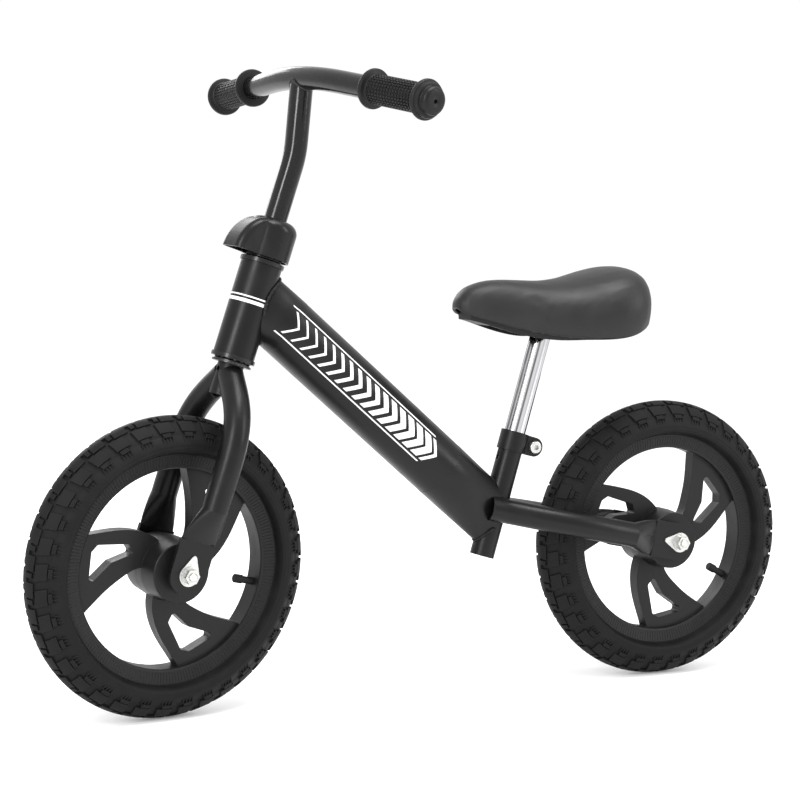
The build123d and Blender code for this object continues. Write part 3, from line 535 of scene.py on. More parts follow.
@dataclass(frozen=True)
class StudioPaper(Finish):
    """Pale seamless studio floor with a barely visible fibre."""

    name: str = "pale_studio_floor"
    colour: Colour = (0.86, 0.86, 0.86)
    roughness: float = 0.9
    specular: float = 0.03

    def dress(self, graph: Graph, shader: bpy.types.Node, place: Wire) -> None:
        """Adds a faint fibre to the floor."""
        fibre = graph.noise(place, 240.0, 3.0)
        graph.feed(shader.inputs["Base Color"], graph.mix(fibre * 0.15, self.colour, (0.8, 0.8, 0.8)))
        shader.inputs["Emission Color"].default_value = (1.0, 1.0, 1.0, 1.0)
        shader.inputs["Emission Strength"].default_value = 0.16


def dress_nodes(table: Sequence[tuple[Finish, str]]) -> None:
    """Lays each finish on the solids whose names follow it, split by spaces."""
    for finish, names in table:
        finish.lay_on(*(frame["nodes"][name] for name in names.split()))


GROUND_STEEL = Zinc("ground_bearing_steel", roughness=0.2)
GREASED_STEEL = Zinc("greased_race_steel", colour=(0.05, 0.05, 0.05), tint=(0.05, 0.035, 0.02))
CUP_PAINT = GlossPaint("semi_gloss_cup_paint", roughness=0.28)


# ------------------------------------------------------------------ lines and frames
@dataclass(frozen=True)
class Axis:
    """A directed line in the bike's frame."""

    point: Vector
    direction: Vector

    def frame(self) -> Matrix:
        """A frame at the point whose z runs along the line and whose x is nearest +X."""
        z = self.direction.normalized()
        x = Vector((1, 0, 0)) - z * z.x
        if x.length < 0.1:
            x = Vector((0, 0, 1)) - z * z.z
        x.normalize()
        y = z.cross(x)
        turned = Matrix((x, y, z)).transposed().to_4x4()
        turned.translation = self.point
        return turned

    def at(self, distance: float) -> Vector:
        """The point this far along the line."""
        return self.point + self.direction * distance


def joint_axis(name: str) -> Axis:
    """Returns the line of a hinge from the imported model's joints."""
    joint = next(j for j in frame["joints"] if j["name"] == name)
    return Axis(Vector(joint["pos_m"]), Vector(joint["axis"]).normalized())


def long_axis(node: str, outward: Vector) -> tuple[Axis, float]:
    """Finds the centre line of a turned CAD node.

    Args:
        node: the CAD node's name.
        outward: a direction the line should roughly point in.

    Returns:
        The line from the node's near end, and the node's length along it.
    """
    places = np.array([v.co for v in frame["nodes"][node].data.vertices])
    middle = (places.max(0) + places.min(0)) / 2
    _, _, rows = np.linalg.svd(places - places.mean(0), full_matrices=False)
    direction = Vector(rows[0])
    if direction.dot(outward) < 0:
        direction.negate()
    middle = Vector(places.mean(0))
    reach = (places - np.array(middle)) @ np.array(direction)
    return Axis(middle + direction * float(reach.min()), direction), float(reach.max() - reach.min())


# ------------------------------------------------------------------ meshes
class MeshData:
    """Vertices and faces gathered before they become a mesh, in millimetres."""

    def __init__(self) -> None:
        """Starts empty."""
        self.points: list[tuple[float, float, float]] = []
        self.faces: list[tuple[int, ...]] = []

    def add(self, points: Sequence[Sequence[float]], faces: Sequence[Sequence[int]]) -> None:
        """Adds points, and faces that index into them."""
        base = len(self.points)
        self.points.extend(tuple(p) for p in points)
        self.faces.extend(tuple(base + i for i in face) for face in faces)

    def lathe(self, outline: Loop, steps: int) -> None:
        """Turns a closed outline about z.

        Args:
            outline: (radius, height) corners; points on the axis close a pole.
            steps: how many steps there are in the full turn.
        """
        count = len(outline)
        points = []
        for i in range(steps):
            turn = FULL_TURN * i / steps
            for radius, height in outline:
                points.append((radius * math.cos(turn), radius * math.sin(turn), height))
        faces = []
        for i in range(steps):
            j = (i + 1) % steps
            for k in range(count):
                m = (k + 1) % count
                faces.append((i * count + k, j * count + k, j * count + m, i * count + m))
        self.add(points, faces)

    def piece(
        self, name: str, place: Matrix, finish: Finish, crease: float = 35.0, merge: float = 1e-6
    ) -> bpy.types.Object:
        """Makes the object, with its place in its mesh.

        Args:
            name: the piece's name.
            place: the local frame in the bike's frame, in metres.
            finish: its finish.
            crease: faces that meet at more than this many degrees stay sharp.
            merge: points nearer than this, in metres, become one.

        Returns:
            The new object.
        """
        mesh = bpy.data.meshes.new(name)
        mesh.from_pydata([Vector(p) * MM for p in self.points], [], self.faces)
        built = bmesh.new()
        built.from_mesh(mesh)
        bmesh.ops.remove_doubles(built, verts=built.verts, dist=merge)
        bmesh.ops.dissolve_degenerate(built, edges=built.edges, dist=merge / 2)
        bmesh.ops.recalc_face_normals(built, faces=built.faces)
        built.to_mesh(mesh)
        built.free()
        mesh.transform(place)
        return new_piece(name, mesh, finish, crease)


def new_piece(name: str, mesh: bpy.types.Mesh, finish: Finish, crease: float) -> bpy.types.Object:
    """Links a mesh as a smooth-shaded object at the origin, with its finish."""
    mesh.name = name
    mesh.shade_smooth()
    mesh.set_sharp_from_angle(angle=math.radians(crease))
    piece = bpy.data.objects.new(name, mesh)
    bpy.context.scene.collection.objects.link(piece)
    finish.lay_on(piece)
    return piece


class Growth:
    """A Geometry Nodes tree with named inputs, run once on a source mesh."""

    def __init__(
        self, name: str, sockets: Sequence[tuple[str, str]], build: Callable[[Graph, bpy.types.Node], Any]
    ) -> None:
        """Builds the tree.

        Args:
            name: the tree's name.
            sockets: (name, socket type) of each input after the geometry.
            build: makes the nodes between the group input and Realize Instances.
        """
        self.tree = bpy.data.node_groups.new(name, "GeometryNodeTree")
        face = self.tree.interface
        face.new_socket("Geometry", in_out="INPUT", socket_type="NodeSocketGeometry")
        for label, kind in (*sockets, ("Finish", "NodeSocketMaterial")):
            face.new_socket(label, in_out="INPUT", socket_type=kind)
        face.new_socket("Geometry", in_out="OUTPUT", socket_type="NodeSocketGeometry")
        graph = Graph(self.tree)
        entry = graph.node("NodeGroupInput")
        instances = build(graph, entry)
        real = graph.node("GeometryNodeRealizeInstances", {}, {0: instances})
        inputs = {"Geometry": real.outputs[0], "Material": entry.outputs["Finish"]}
        dressed = graph.node("GeometryNodeSetMaterial", {}, inputs)
        graph.node("NodeGroupOutput", {}, {0: dressed.outputs[0]})

    def grow(
        self, source: bpy.types.Object, name: str, finish: Finish, place: Matrix, crease: float, **values: Any
    ) -> bpy.types.Object:
        """Runs the tree on a source object and returns a plain piece.

        Args:
            source: the object whose geometry is repeated; it is used up.
            name: the new piece's name.
            finish: the new piece's finish.
            place: the frame to put the result in.
            crease: faces that meet at more than this many degrees stay sharp.
            **values: the tree's inputs, with underscores for spaces.

        Returns:
            The new piece.
        """
        modifier = source.modifiers.new("growth", "NODES")
        modifier.node_group = self.tree
        for item in self.tree.interface.items_tree:
            if item.in_out != "INPUT":
                continue
            key = item.name.replace(" ", "_")
            if key in values:
                modifier[item.identifier] = values[key]
            elif item.name == "Finish":
                modifier[item.identifier] = finish.material()
        bpy.context.view_layer.update()
        shown = source.evaluated_get(bpy.context.evaluated_depsgraph_get())
        mesh = bpy.data.meshes.new_from_object(shown)
        source.modifiers.remove(modifier)
        bpy.data.objects.remove(source)
        mesh.transform(place)
        return new_piece(name, mesh, finish, crease)


def build_turned(graph: Graph, entry: bpy.types.Node) -> Any:
    """Repeats the source round z in rows: Copies in a row, Turn apart, with Rows a Row Step apart."""
    copies = graph.wire(entry, "Copies")
    total = copies * graph.wire(entry, "Rows")
    index = graph.wire(graph.node("GeometryNodeInputIndex"))
    column = index % copies
    row = graph.math("FLOOR", index / copies)
    height = graph.node("ShaderNodeCombineXYZ", {}, {"Z": row * graph.wire(entry, "Row Step")})
    points = graph.node("GeometryNodePoints", {}, {"Count": total, "Position": height.outputs[0]})
    turn = column * graph.wire(entry, "Turn") + row * graph.wire(entry, "Row Turn")
    rotation = graph.node("ShaderNodeCombineXYZ", {}, {"Z": turn})
    inputs = {"Points": points.outputs[0], "Instance": entry.outputs["Geometry"], "Rotation": rotation.outputs[0]}
    return graph.node("GeometryNodeInstanceOnPoints", {}, inputs).outputs[0]


LUMP_LEAST = (0.62, 0.8, 0.72)
LUMP_MOST = (0.95, 1.18, 1.12)


def build_beads(graph: Graph, entry: bpy.types.Node) -> Any:
    """Lays overlapping lumps along the source's edges, each a little different."""
    curve = graph.node("GeometryNodeMeshToCurve", {}, {0: entry.outputs["Geometry"]})
    inputs = {"Curve": curve.outputs[0], "Length": entry.outputs["Spacing"]}
    even = graph.node("GeometryNodeResampleCurve", {"mode": "LENGTH"}, inputs)
    tangent = graph.node("GeometryNodeInputTangent")
    rotation = graph.node("FunctionNodeAlignRotationToVector", {"axis": "X"}, {"Vector": tangent.outputs[0]})
    lump = graph.node("GeometryNodeMeshIcoSphere", {}, {"Radius": entry.outputs["Size"], "Subdivisions": 2})
    limits = {"Min": LUMP_LEAST, "Max": LUMP_MOST, "Seed": entry.outputs["Seed"]}
    scale = graph.node("FunctionNodeRandomValue", {"data_type": "FLOAT_VECTOR"}, limits)
    inputs = {
        "Points": even.outputs[0], "Instance": lump.outputs[0],
        "Rotation": rotation.outputs[0], "Scale": scale.outputs[0],
    }
    return graph.node("GeometryNodeInstanceOnPoints", {}, inputs).outputs[0]


TURNED = Growth(
    "turned_rows",
    (("Copies", "NodeSocketInt"), ("Turn", "NodeSocketFloat"), ("Rows", "NodeSocketInt"),
     ("Row Step", "NodeSocketFloat"), ("Row Turn", "NodeSocketFloat")),
    build_turned,
)
BEADS = Growth(
    "weld_beads",
    (("Spacing", "NodeSocketFloat"), ("Size", "NodeSocketFloat"), ("Seed", "NodeSocketInt")),
    build_beads,
)


def turned_rows(
    source: MeshData, name: str, finish: Finish, place: Matrix, copies: int,
    rows: int = 1, row_step: float = 0.0, row_turn: float = 0.0, crease: float = 30.0,
) -> bpy.types.Object:
    """Repeats a small mesh evenly round z, and along it in rows.

    Args:
        source: the mesh to repeat, in millimetres.
        name: the piece's name.
        finish: its finish.
        place: the local frame.
        copies: how many go round.
        rows: how many rows.
        row_step: metres from row to row.
        row_turn: turn from row to row, in radians.
        crease: sharp angle in degrees.

    Returns:
        The new piece.
    """
    seed = source.piece(name + "_seed", Matrix.Identity(4), finish, crease)
    return TURNED.grow(
        seed, name, finish, place, crease, Copies=copies, Turn=FULL_TURN / copies,
        Rows=rows, Row_Step=row_step, Row_Turn=row_turn,
    )


# ------------------------------------------------------------------ tyres
@dataclass
class Block:
    """One raised rubber block, on the unrolled tread, in millimetres."""

    start: float
    end: float
    near: float
    far: float
    lean: float = 0.0
    height: float = 2.2
    chamfer: float = 0.45


@dataclass
class Tyre:
    """A tyre with staggered blocks, side lugs and rings near the rim, in millimetres."""

    wheel: Body
    radius: float = 145.0
    half_width: float = 25.0
    rim_radius: float = 110.6
    rim_half: float = 15.0
    pitches: int = 36
    block_height: float = 2.2
    outer: Loop = field(default_factory=list)
    blocks: list[Block] = field(default_factory=lambda: [
        Block(0.5, 15.0, -2.2, 10.8, 1.2),
        Block(17.0, 21.6, 1.8, 9.2, 0.4, 1.7, 0.3),
        Block(7.0, 23.4, 12.4, 24.4, -2.0),
        Block(11.0, 20.2, 25.2, 29.4, -0.6, 1.5, 0.3),
        Block(9.2, 10.2, 29.0, 34.5, 0.3, 0.8, 0.15),
        Block(13.0, 14.0, 30.0, 35.0, 0.3, 0.8, 0.15),
        Block(16.8, 17.8, 30.0, 35.0, 0.3, 0.8, 0.15),
        Block(20.6, 21.6, 29.0, 34.5, 0.3, 0.8, 0.15),
    ])

    def __post_init__(self) -> None:
        """Sets the outer section, from the crown to the rim."""
        r, w = self.radius, self.half_width
        self.outer = [
            (r, 0.0), (r - 0.25, 2.6), (r - 0.8, 5.1), (r - 1.7, 7.6), (r - 2.9, 10.1), (r - 5.2, 13.6),
            (r - 9.1, 17.6), (r - 12.5, 20.1), (r - 16.5, 22.3), (r - 20.0, 23.7), (r - 23.4, 24.5),
            (r - 28.1, 25.0), (r - 30.5, 24.0), (r - 32.6, 21.1), (r - 33.7, 16.8),
        ]
        lengths = [0.0]
        for (a, b), (c, d) in zip(self.outer, self.outer[1:]):
            lengths.append(lengths[-1] + math.hypot(c - a, d - b))
        self._lengths = np.array(lengths)
        self._radii = np.array([p[0] for p in self.outer])
        self._halves = np.array([p[1] for p in self.outer])

    def skin(self, across: float, height: float) -> tuple[float, float]:
        """A point of the tyre's section.

        Args:
            across: signed distance from the crown over the section.
            height: distance outward from the outer skin.

        Returns:
            Radius and offset from the middle plane.
        """
        side = 1.0 if across >= 0 else -1.0
        t = abs(across)
        r = float(np.interp(t, self._lengths, self._radii))
        z = float(np.interp(t, self._lengths, self._halves))
        a, b = max(t - 1.5, 0.0), t + 1.5
        dr, dz = (float(np.interp(b, self._lengths, column) - np.interp(a, self._lengths, column))
                  for column in (self._radii, self._halves))
        size = math.hypot(dr, dz)
        return r + dz / size * height, side * (z - dr / size * height)

    def carcass(self) -> Loop:
        """The closed section under the blocks, with rings near the rim."""
        half: Loop = []
        total = float(self._lengths[-1])
        for t in np.linspace(0.0, total, 66):
            sunk = self.block_height * float(np.clip((36.0 - t) / 8.0, 0.0, 1.0))
            radius = float(np.interp(t, self._lengths, self._radii))
            ring = 0.0
            for middle in (self.rim_radius + 3.3, self.rim_radius + 5.6, self.rim_radius + 9.4):
                ring = max(ring, 0.45 * math.exp(-(((radius - middle) / 0.55) ** 2)))
            half.append(self.skin(float(t), ring - sunk))
        r, rim = self.radius, self.rim_radius
        bead = [
            (rim + 0.35, self.rim_half - 0.2), (rim - 4.0, self.rim_half - 1.7), (rim - 4.0, 9.8), (rim + 2.6, 14.0),
            (r - 29.0, 19.0), (r - 22.5, 20.4), (r - 13.0, 16.5), (r - 6.5, 8.0), (r - 5.0, 0.0),
        ]
        right = half[1:] + bead
        left = [(r, -z) for r, z in reversed(right[:-1])]
        return [half[0]] + right + left

    def add_block(self, data: MeshData, block: Block, side: int, shift: float) -> None:
        """Adds one block, curved over the tyre.

        Args:
            data: where it goes.
            block: its place and size.
            side: +1 or -1, the side of the crown.
            shift: distance round the tyre to move it.
        """
        rows, columns = 4, 3
        if block.end - block.start < 2.0:
            columns = 1
        depth = block.height + 0.5

        def at(u: float, v: float, height: float, inset: float) -> tuple[float, float, float]:
            """Point of the block at shares u round and v across."""
            near, far = block.near + inset, block.far - inset
            across = near + (far - near) * v
            start, end = block.start + inset, block.end - inset
            around = start + (end - start) * u + block.lean * (v - 0.5) + shift
            radius, offset = self.skin(across * side, height)
            turn = around / self.radius
            return radius * math.cos(turn), radius * math.sin(turn), offset

        grid = [(i, j) for j in range(rows + 1) for i in range(columns + 1)]
        top = [at(i / columns, j / rows, 0.0, block.chamfer) for i, j in grid]
        edge = [(i, 0) for i in range(columns)] + [(columns, j) for j in range(rows)]
        edge += [(columns - i, rows) for i in range(columns)] + [(0, rows - j) for j in range(rows)]
        rim = [at(i / columns, j / rows, -block.chamfer, 0.0) for i, j in edge]
        foot = [at(i / columns, j / rows, -depth, -0.25) for i, j in edge]
        faces: list[tuple[int, ...]] = []
        wide = columns + 1
        for j in range(rows):
            for i in range(columns):
                a = j * wide + i
                faces.append((a, a + 1, a + wide + 1, a + wide))
        upper = [j * wide + i for i, j in edge]
        count = len(edge)
        base = len(top)
        for k in range(count):
            m = (k + 1) % count
            faces.append((upper[k], upper[m], base + m, base + k))
            faces.append((base + k, base + m, base + count + m, base + count + k))
        faces.append(tuple(base + count + k for k in range(count)))
        data.add(top + rim + foot, faces)

    def build(self, place: Matrix) -> list[bpy.types.Object]:
        """Makes the carcass and the tread.

        Args:
            place: the wheel's frame, z along its axle.

        Returns:
            Both pieces.
        """
        rubber = Rubber()
        ring = MeshData()
        ring.lathe(self.carcass(), 180)
        carcass = ring.piece(self.wheel.value + "_tyre_carcass", place, rubber, 50.0)
        pitch = FULL_TURN * self.radius / self.pitches
        seed = MeshData()
        for side, shift in ((1, 0.0), (-1, pitch / 2)):
            for block in self.blocks:
                self.add_block(seed, block, side, shift)
        tread = turned_rows(seed, self.wheel.value + "_tyre_blocks", rubber, place, self.pitches, crease=28.0)
        for piece in (carcass, tread):
            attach(piece, self.wheel.value)
            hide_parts(self.wheel.value + "_tyre")
        return [carcass, tread]


# ------------------------------------------------------------------ wheels
@dataclass
class Wheel:
    """A moulded wheel: rim and hub from the solids, with ribs, tyre, valve and bearings."""

    wheel: Body
    spin: Axis
    ribs: int = 210
    rib_inner: float = 98.8
    rib_outer: float = 108.4
    rib_width: float = 1.15
    rib_rise: float = 0.45
    slope_inner: tuple[float, float] = (97.6, 12.2)
    slope_outer: tuple[float, float] = (109.2, 15.0)

    def slope(self, radius: float) -> float:
        """Offset of the rim's sloping face from the middle plane at a radius."""
        (r0, z0), (r1, z1) = self.slope_inner, self.slope_outer
        return z0 + (z1 - z0) * (radius - r0) / (r1 - r0)

    def rib_seed(self) -> MeshData:
        """One rib on each side of the rim, each a bar with a narrower top."""
        seed = MeshData()
        for side in (1, -1):
            points = []
            for radius in (self.rib_inner, self.rib_outer):
                base = self.slope(radius)
                for half, height in ((0.5, -0.5), (0.5, 0.1), (0.28, self.rib_rise)):
                    for sign in (1, -1):
                        points.append((radius, sign * half * self.rib_width, side * (base + height)))
            faces = []
            for k in (0, 2):
                faces.append((k, k + 2, k + 8, k + 6))
                faces.append((k + 1, k + 7, k + 9, k + 3))
            faces += [(4, 5, 11, 10), (0, 6, 7, 1), (0, 1, 3, 2), (2, 3, 5, 4), (6, 8, 9, 7), (8, 10, 11, 9)]
            seed.add(points, faces)
        return seed

    def build(self) -> list[bpy.types.Object]:
        """Makes the ribs and the tyre, and dresses the wheel's solids."""
        name = self.wheel.value
        middle, axis = tuple(self.spin.point), tuple(self.spin.direction)
        plastic = WheelPlastic(name=name + "_plastic", middle=middle, axis=axis)
        place = self.spin.frame()
        ribs = turned_rows(self.rib_seed(), name + "_rim_ribs", plastic, place, self.ribs)
        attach(ribs, name)
        dress_nodes((
            (plastic, f"{name}_rim"),
            (MouldedPlastic("black_bearing_shield", roughness=0.55), f"{name}_hub_seals"),
            (GROUND_STEEL, f"{name}_bearing_outer_rings {name}_bearing_balls"),
            (Rubber("soft_tube_rubber", colour=(0.012, 0.012, 0.012), roughness=0.5), f"{name}_air_tube {name}_valve"),
        ))
        return [ribs] + Tyre(self.wheel).build(place)


# ------------------------------------------------------------------ welds
@dataclass(frozen=True)
class Weld:
    """A lumpy bead where one tube meets another, in millimetres."""

    name: str
    body: Body
    tube: Axis
    high: float
    wide: float
    other: Axis
    other_radius: float
    size: float = 2.3
    spacing: float = 1.9
    seed: int = 1

    def path(self) -> list[list[Vector]]:
        """Runs of points where the tube's skin meets the other tube's skin."""
        place = self.tube.frame()
        runs: list[list[Vector]] = [[]]
        axis = self.other.direction.normalized()
        count = 200
        for i in range(count + 1):
            turn = FULL_TURN * i / count
            start = place @ Vector((self.high * MM * math.cos(turn), self.wide * MM * math.sin(turn), 0.0))
            offset = start - self.other.point
            away = self.tube.direction
            flat_start = offset - axis * offset.dot(axis)
            flat_way = away - axis * away.dot(axis)
            a = flat_way.dot(flat_way)
            b = 2 * flat_start.dot(flat_way)
            c = flat_start.dot(flat_start) - (self.other_radius * MM) ** 2
            under = b * b - 4 * a * c
            if under <= 0:
                if runs[-1]:
                    runs.append([])
                continue
            runs[-1].append(start + away * ((-b - math.sqrt(under)) / (2 * a)))
        return [run for run in runs if len(run) > 3]

    def build(self, finish: Finish, slot: str) -> bpy.types.Object:
        """Makes the bead.

        Args:
            finish: the paint over it.
            slot: the material slot of the record; not used.

        Returns:
            The piece.
        """
        points: list[Vector] = []
        edges: list[tuple[int, int]] = []
        for run in self.path():
            base = len(points)
            points.extend(run)
            edges.extend((base + i, base + i + 1) for i in range(len(run) - 1))
        mesh = bpy.data.meshes.new(self.name + "_line")
        mesh.from_pydata(points, edges, [])
        line = bpy.data.objects.new(self.name + "_line", mesh)
        bpy.context.scene.collection.objects.link(line)
        bead = BEADS.grow(
            line, self.name, finish, Matrix.Identity(4), 80.0,
            Spacing=self.spacing * MM, Size=self.size * MM, Seed=self.seed,
        )
        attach(bead, self.body.value)
        return bead


# ------------------------------------------------------------------ frame and fork
@dataclass
class BikeFrame:
    """Down tube, head tube, seat tube and stays, with their welds and rear axle."""

    seat_node: Vector = field(default_factory=lambda: Vector((-0.0747, 0.0, 0.1753)))
    down_angle: float = 40.35
    seat_angle: float = 74.0
    steering: Axis = field(default_factory=lambda: joint_axis("steering"))

    def down_axis(self) -> Axis:
        """Centre line of the down tube, from the seat tube up to the head tube."""
        lean = math.radians(self.down_angle)
        return Axis(self.seat_node, Vector((math.cos(lean), 0.0, math.sin(lean))))

    def seat_axis(self) -> Axis:
        """Centre line of the seat tube, upwards."""
        lean = math.radians(self.seat_angle)
        return Axis(self.seat_node, Vector((-math.cos(lean), 0.0, math.sin(lean))))

    def welds(self) -> list[Weld]:
        """The beads of the frame."""
        down, seat = self.down_axis(), self.seat_axis()
        backward = Axis(down.at(0.12), -down.direction)
        return [
            Weld("head_weld", Body.FRAME, down, 30.0, 18.6, self.steering, 20.6, 2.2, 1.8, 3),
            Weld("seat_weld", Body.FRAME, backward, 30.0, 14.0, seat, 13.3, 1.6, 1.5, 5),
        ]

    def build(self) -> list[bpy.types.Object]:
        """Makes the welds and dresses the frame's solids."""
        paint = SatinPaint()
        down = self.down_axis()
        across = down.direction.cross(Vector((0, 1, 0)))
        lines = (tuple(down.point), tuple(down.direction), tuple(across))
        chevrons = StripedPaint(start=lines[0], direction=lines[1], across=lines[2], first=0.105, last=0.305)
        bands = BandedPaint(start=tuple(self.steering.point), direction=tuple(self.steering.direction))
        dress_nodes((
            (chevrons, "down_tube"),
            (bands, "head_tube"),
            (paint, "seat_tube chain_stay_left chain_stay_right seat_clamp_collar"),
            (CUP_PAINT, "headset_cup_lower headset_cup_upper"),
            (Zinc(), "seat_clamp_bolt seat_clamp_nut rear_axle rear_axle_nuts rear_tab_washers"),
            (GROUND_STEEL, "rear_axle_spacers rear_bearing_inner_rings rear_axle_sleeve"),
        ))
        return [weld.build(paint, "frame_paint") for weld in self.welds()]


def dress_fork() -> None:
    """Dresses the steerer, the legs, the headset parts and the clamp cover."""
    dress_nodes((
        (SatinPaint(), "steerer_tube fork_leg_left fork_leg_right stem_clamp_collar"),
        (MouldedPlastic("clamp_cover_plastic", roughness=0.3, grain=0.00001), "clamp_cover"),
        (Zinc(), "stem_clamp_bolt stem_clamp_nut front_axle front_axle_nuts front_tab_washers"),
        (CUP_PAINT, "headset_nut"),
        (GREASED_STEEL, "crown_race headset_balls_lower headset_balls_upper"),
        (GROUND_STEEL, "front_axle_spacers front_bearing_inner_rings front_axle_sleeve"),
    ))


# ------------------------------------------------------------------ handlebar
@dataclass
class Grip:
    """A rubber grip: flanges, stepped end and a waffle of raised pads, in millimetres."""

    hand: Hand
    bar_radius: float = 11.15
    core_radius: float = 13.1
    pad_height: float = 1.0
    flange_radius: float = 18.75
    flange_half: float = 2.5
    length: float = 72.4
    cap_radius: float = 16.5
    cap_end: float = 85.5
    pads_round: int = 28
    rows: int = 16
    row_pitch: float = 4.0

    def outline(self) -> Loop:
        """The closed section of the grip's core, flanges and end."""
        bar, core, flange, half = self.bar_radius, self.core_radius, self.flange_radius, self.flange_half
        out, cap, end = self.length, self.cap_radius, self.cap_end
        rear, front = out - half, out + half
        return [
            (bar, -half), (flange - 1.6, -half), (flange - 0.5, -half + 0.5), (flange, -half + 1.6),
            (flange, half - 1.6), (flange - 0.5, half - 0.5), (flange - 1.6, half), (core + 2.2, half + 0.2),
            (core + 0.8, half + 0.8), (core, half + 2.0), (core, rear - 2.0), (core + 0.8, rear - 0.8),
            (core + 2.2, rear - 0.2), (flange - 1.6, rear), (flange - 0.5, rear + 0.5), (flange, rear + 1.6),
            (flange, front - 1.6), (flange - 0.5, front - 0.5), (flange - 1.4, front), (cap + 0.3, front),
            (cap + 0.3, front + 0.5), (cap, front + 0.9), (cap, front + 2.2), (cap - 0.4, front + 3.2),
            (cap - 1.3, front + 3.6), (cap - 3.0, front + 3.6), (cap - 3.4, front + 4.1), (cap - 3.4, end - 3.6),
            (cap - 3.9, end - 2.0), (cap - 5.2, end - 0.7), (cap - 7.2, end), (2.6, end), (1.9, end - 0.5),
            (1.6, end - 3.0), (0.0, end - 3.0), (0.0, end - 5.5), (bar, end - 5.5),
        ]

    def pad(self) -> MeshData:
        """One raised pad of the waffle."""
        seed = MeshData()
        wide = FULL_TURN / self.pads_round
        first = self.flange_half + 3.1
        points = []
        for share, height, radius in ((0.40, 1.45, -0.4), (0.36, 1.3, 0.55), (0.26, 0.85, self.pad_height)):
            for turn, side in ((-1, -1), (1, -1), (1, 1), (-1, 1)):
                angle = turn * share * wide
                reach = self.core_radius + radius
                points.append((reach * math.cos(angle), reach * math.sin(angle), first + side * height))
        faces: list[tuple[int, ...]] = [(8, 9, 10, 11), (3, 2, 1, 0)]
        for ring in (0, 4):
            for k in range(4):
                m = (k + 1) % 4
                faces.append((ring + k, ring + m, ring + 4 + m, ring + 4 + k))
        seed.add(points, faces)
        return seed

    def build(self) -> list[bpy.types.Object]:
        """Makes the grip in place of its plain solid."""
        side = self.hand.name.lower()
        node = "grip_" + side
        axis, reach = long_axis(node, Vector((0, self.hand.value, 0)))
        start = axis.at(reach - self.cap_end * MM)
        place = Axis(start, axis.direction).frame()
        rubber = Rubber(
            "grip_rubber", colour=(0.0055, 0.0055, 0.006), dusty=(0.013, 0.013, 0.0135),
            roughness=0.42, specular=0.2, edge_radius=0.0003,
        )
        body = MeshData()
        body.lathe(self.outline(), 96)
        core = body.piece(node + "_core", place, rubber, 40.0)
        rows = (self.pads_round, self.rows, self.row_pitch * MM)
        pads = turned_rows(self.pad(), node + "_pads", rubber, place, *rows)
        for piece in (core, pads):
            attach(piece, Body.HANDLEBAR.value)
            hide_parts(node)
        return [core, pads]


@dataclass
class Handlebar:
    """Post, crossbar and both grips."""

    grips: list[Grip] = field(default_factory=lambda: [Grip(Hand.LEFT), Grip(Hand.RIGHT)])
    steering: Axis = field(default_factory=lambda: joint_axis("steering"))
    turned: float = 8.4
    bend_at: float = 411.0
    bend: float = 13.7
    bar_above_bend: float = 72.6
    tube_radius: float = 11.1

    def weld(self) -> Weld:
        """The bead where the post meets the crossbar."""
        up = self.steering.direction
        ahead = Matrix.Rotation(math.radians(self.turned), 3, up) @ Vector((up.z, 0.0, -up.x))
        lean = math.radians(self.bend)
        post = Axis(self.steering.at(self.bend_at * MM), ahead * math.sin(lean) + up * math.cos(lean))
        bar = Axis(post.at(self.bar_above_bend * MM), up.cross(ahead))
        radius = self.tube_radius
        return Weld("bar_weld", Body.HANDLEBAR, post, radius, radius, bar, radius + 0.3, 1.5, 1.3, 7)

    def build(self) -> list[bpy.types.Object]:
        """Makes the grips and dresses the bar."""
        dress_nodes(((GlossPaint(), "handlebar_post handlebar_crossbar"),))
        pieces = [self.weld().build(GlossPaint(), "bar_paint")]
        for grip in self.grips:
            pieces += grip.build()
        return pieces


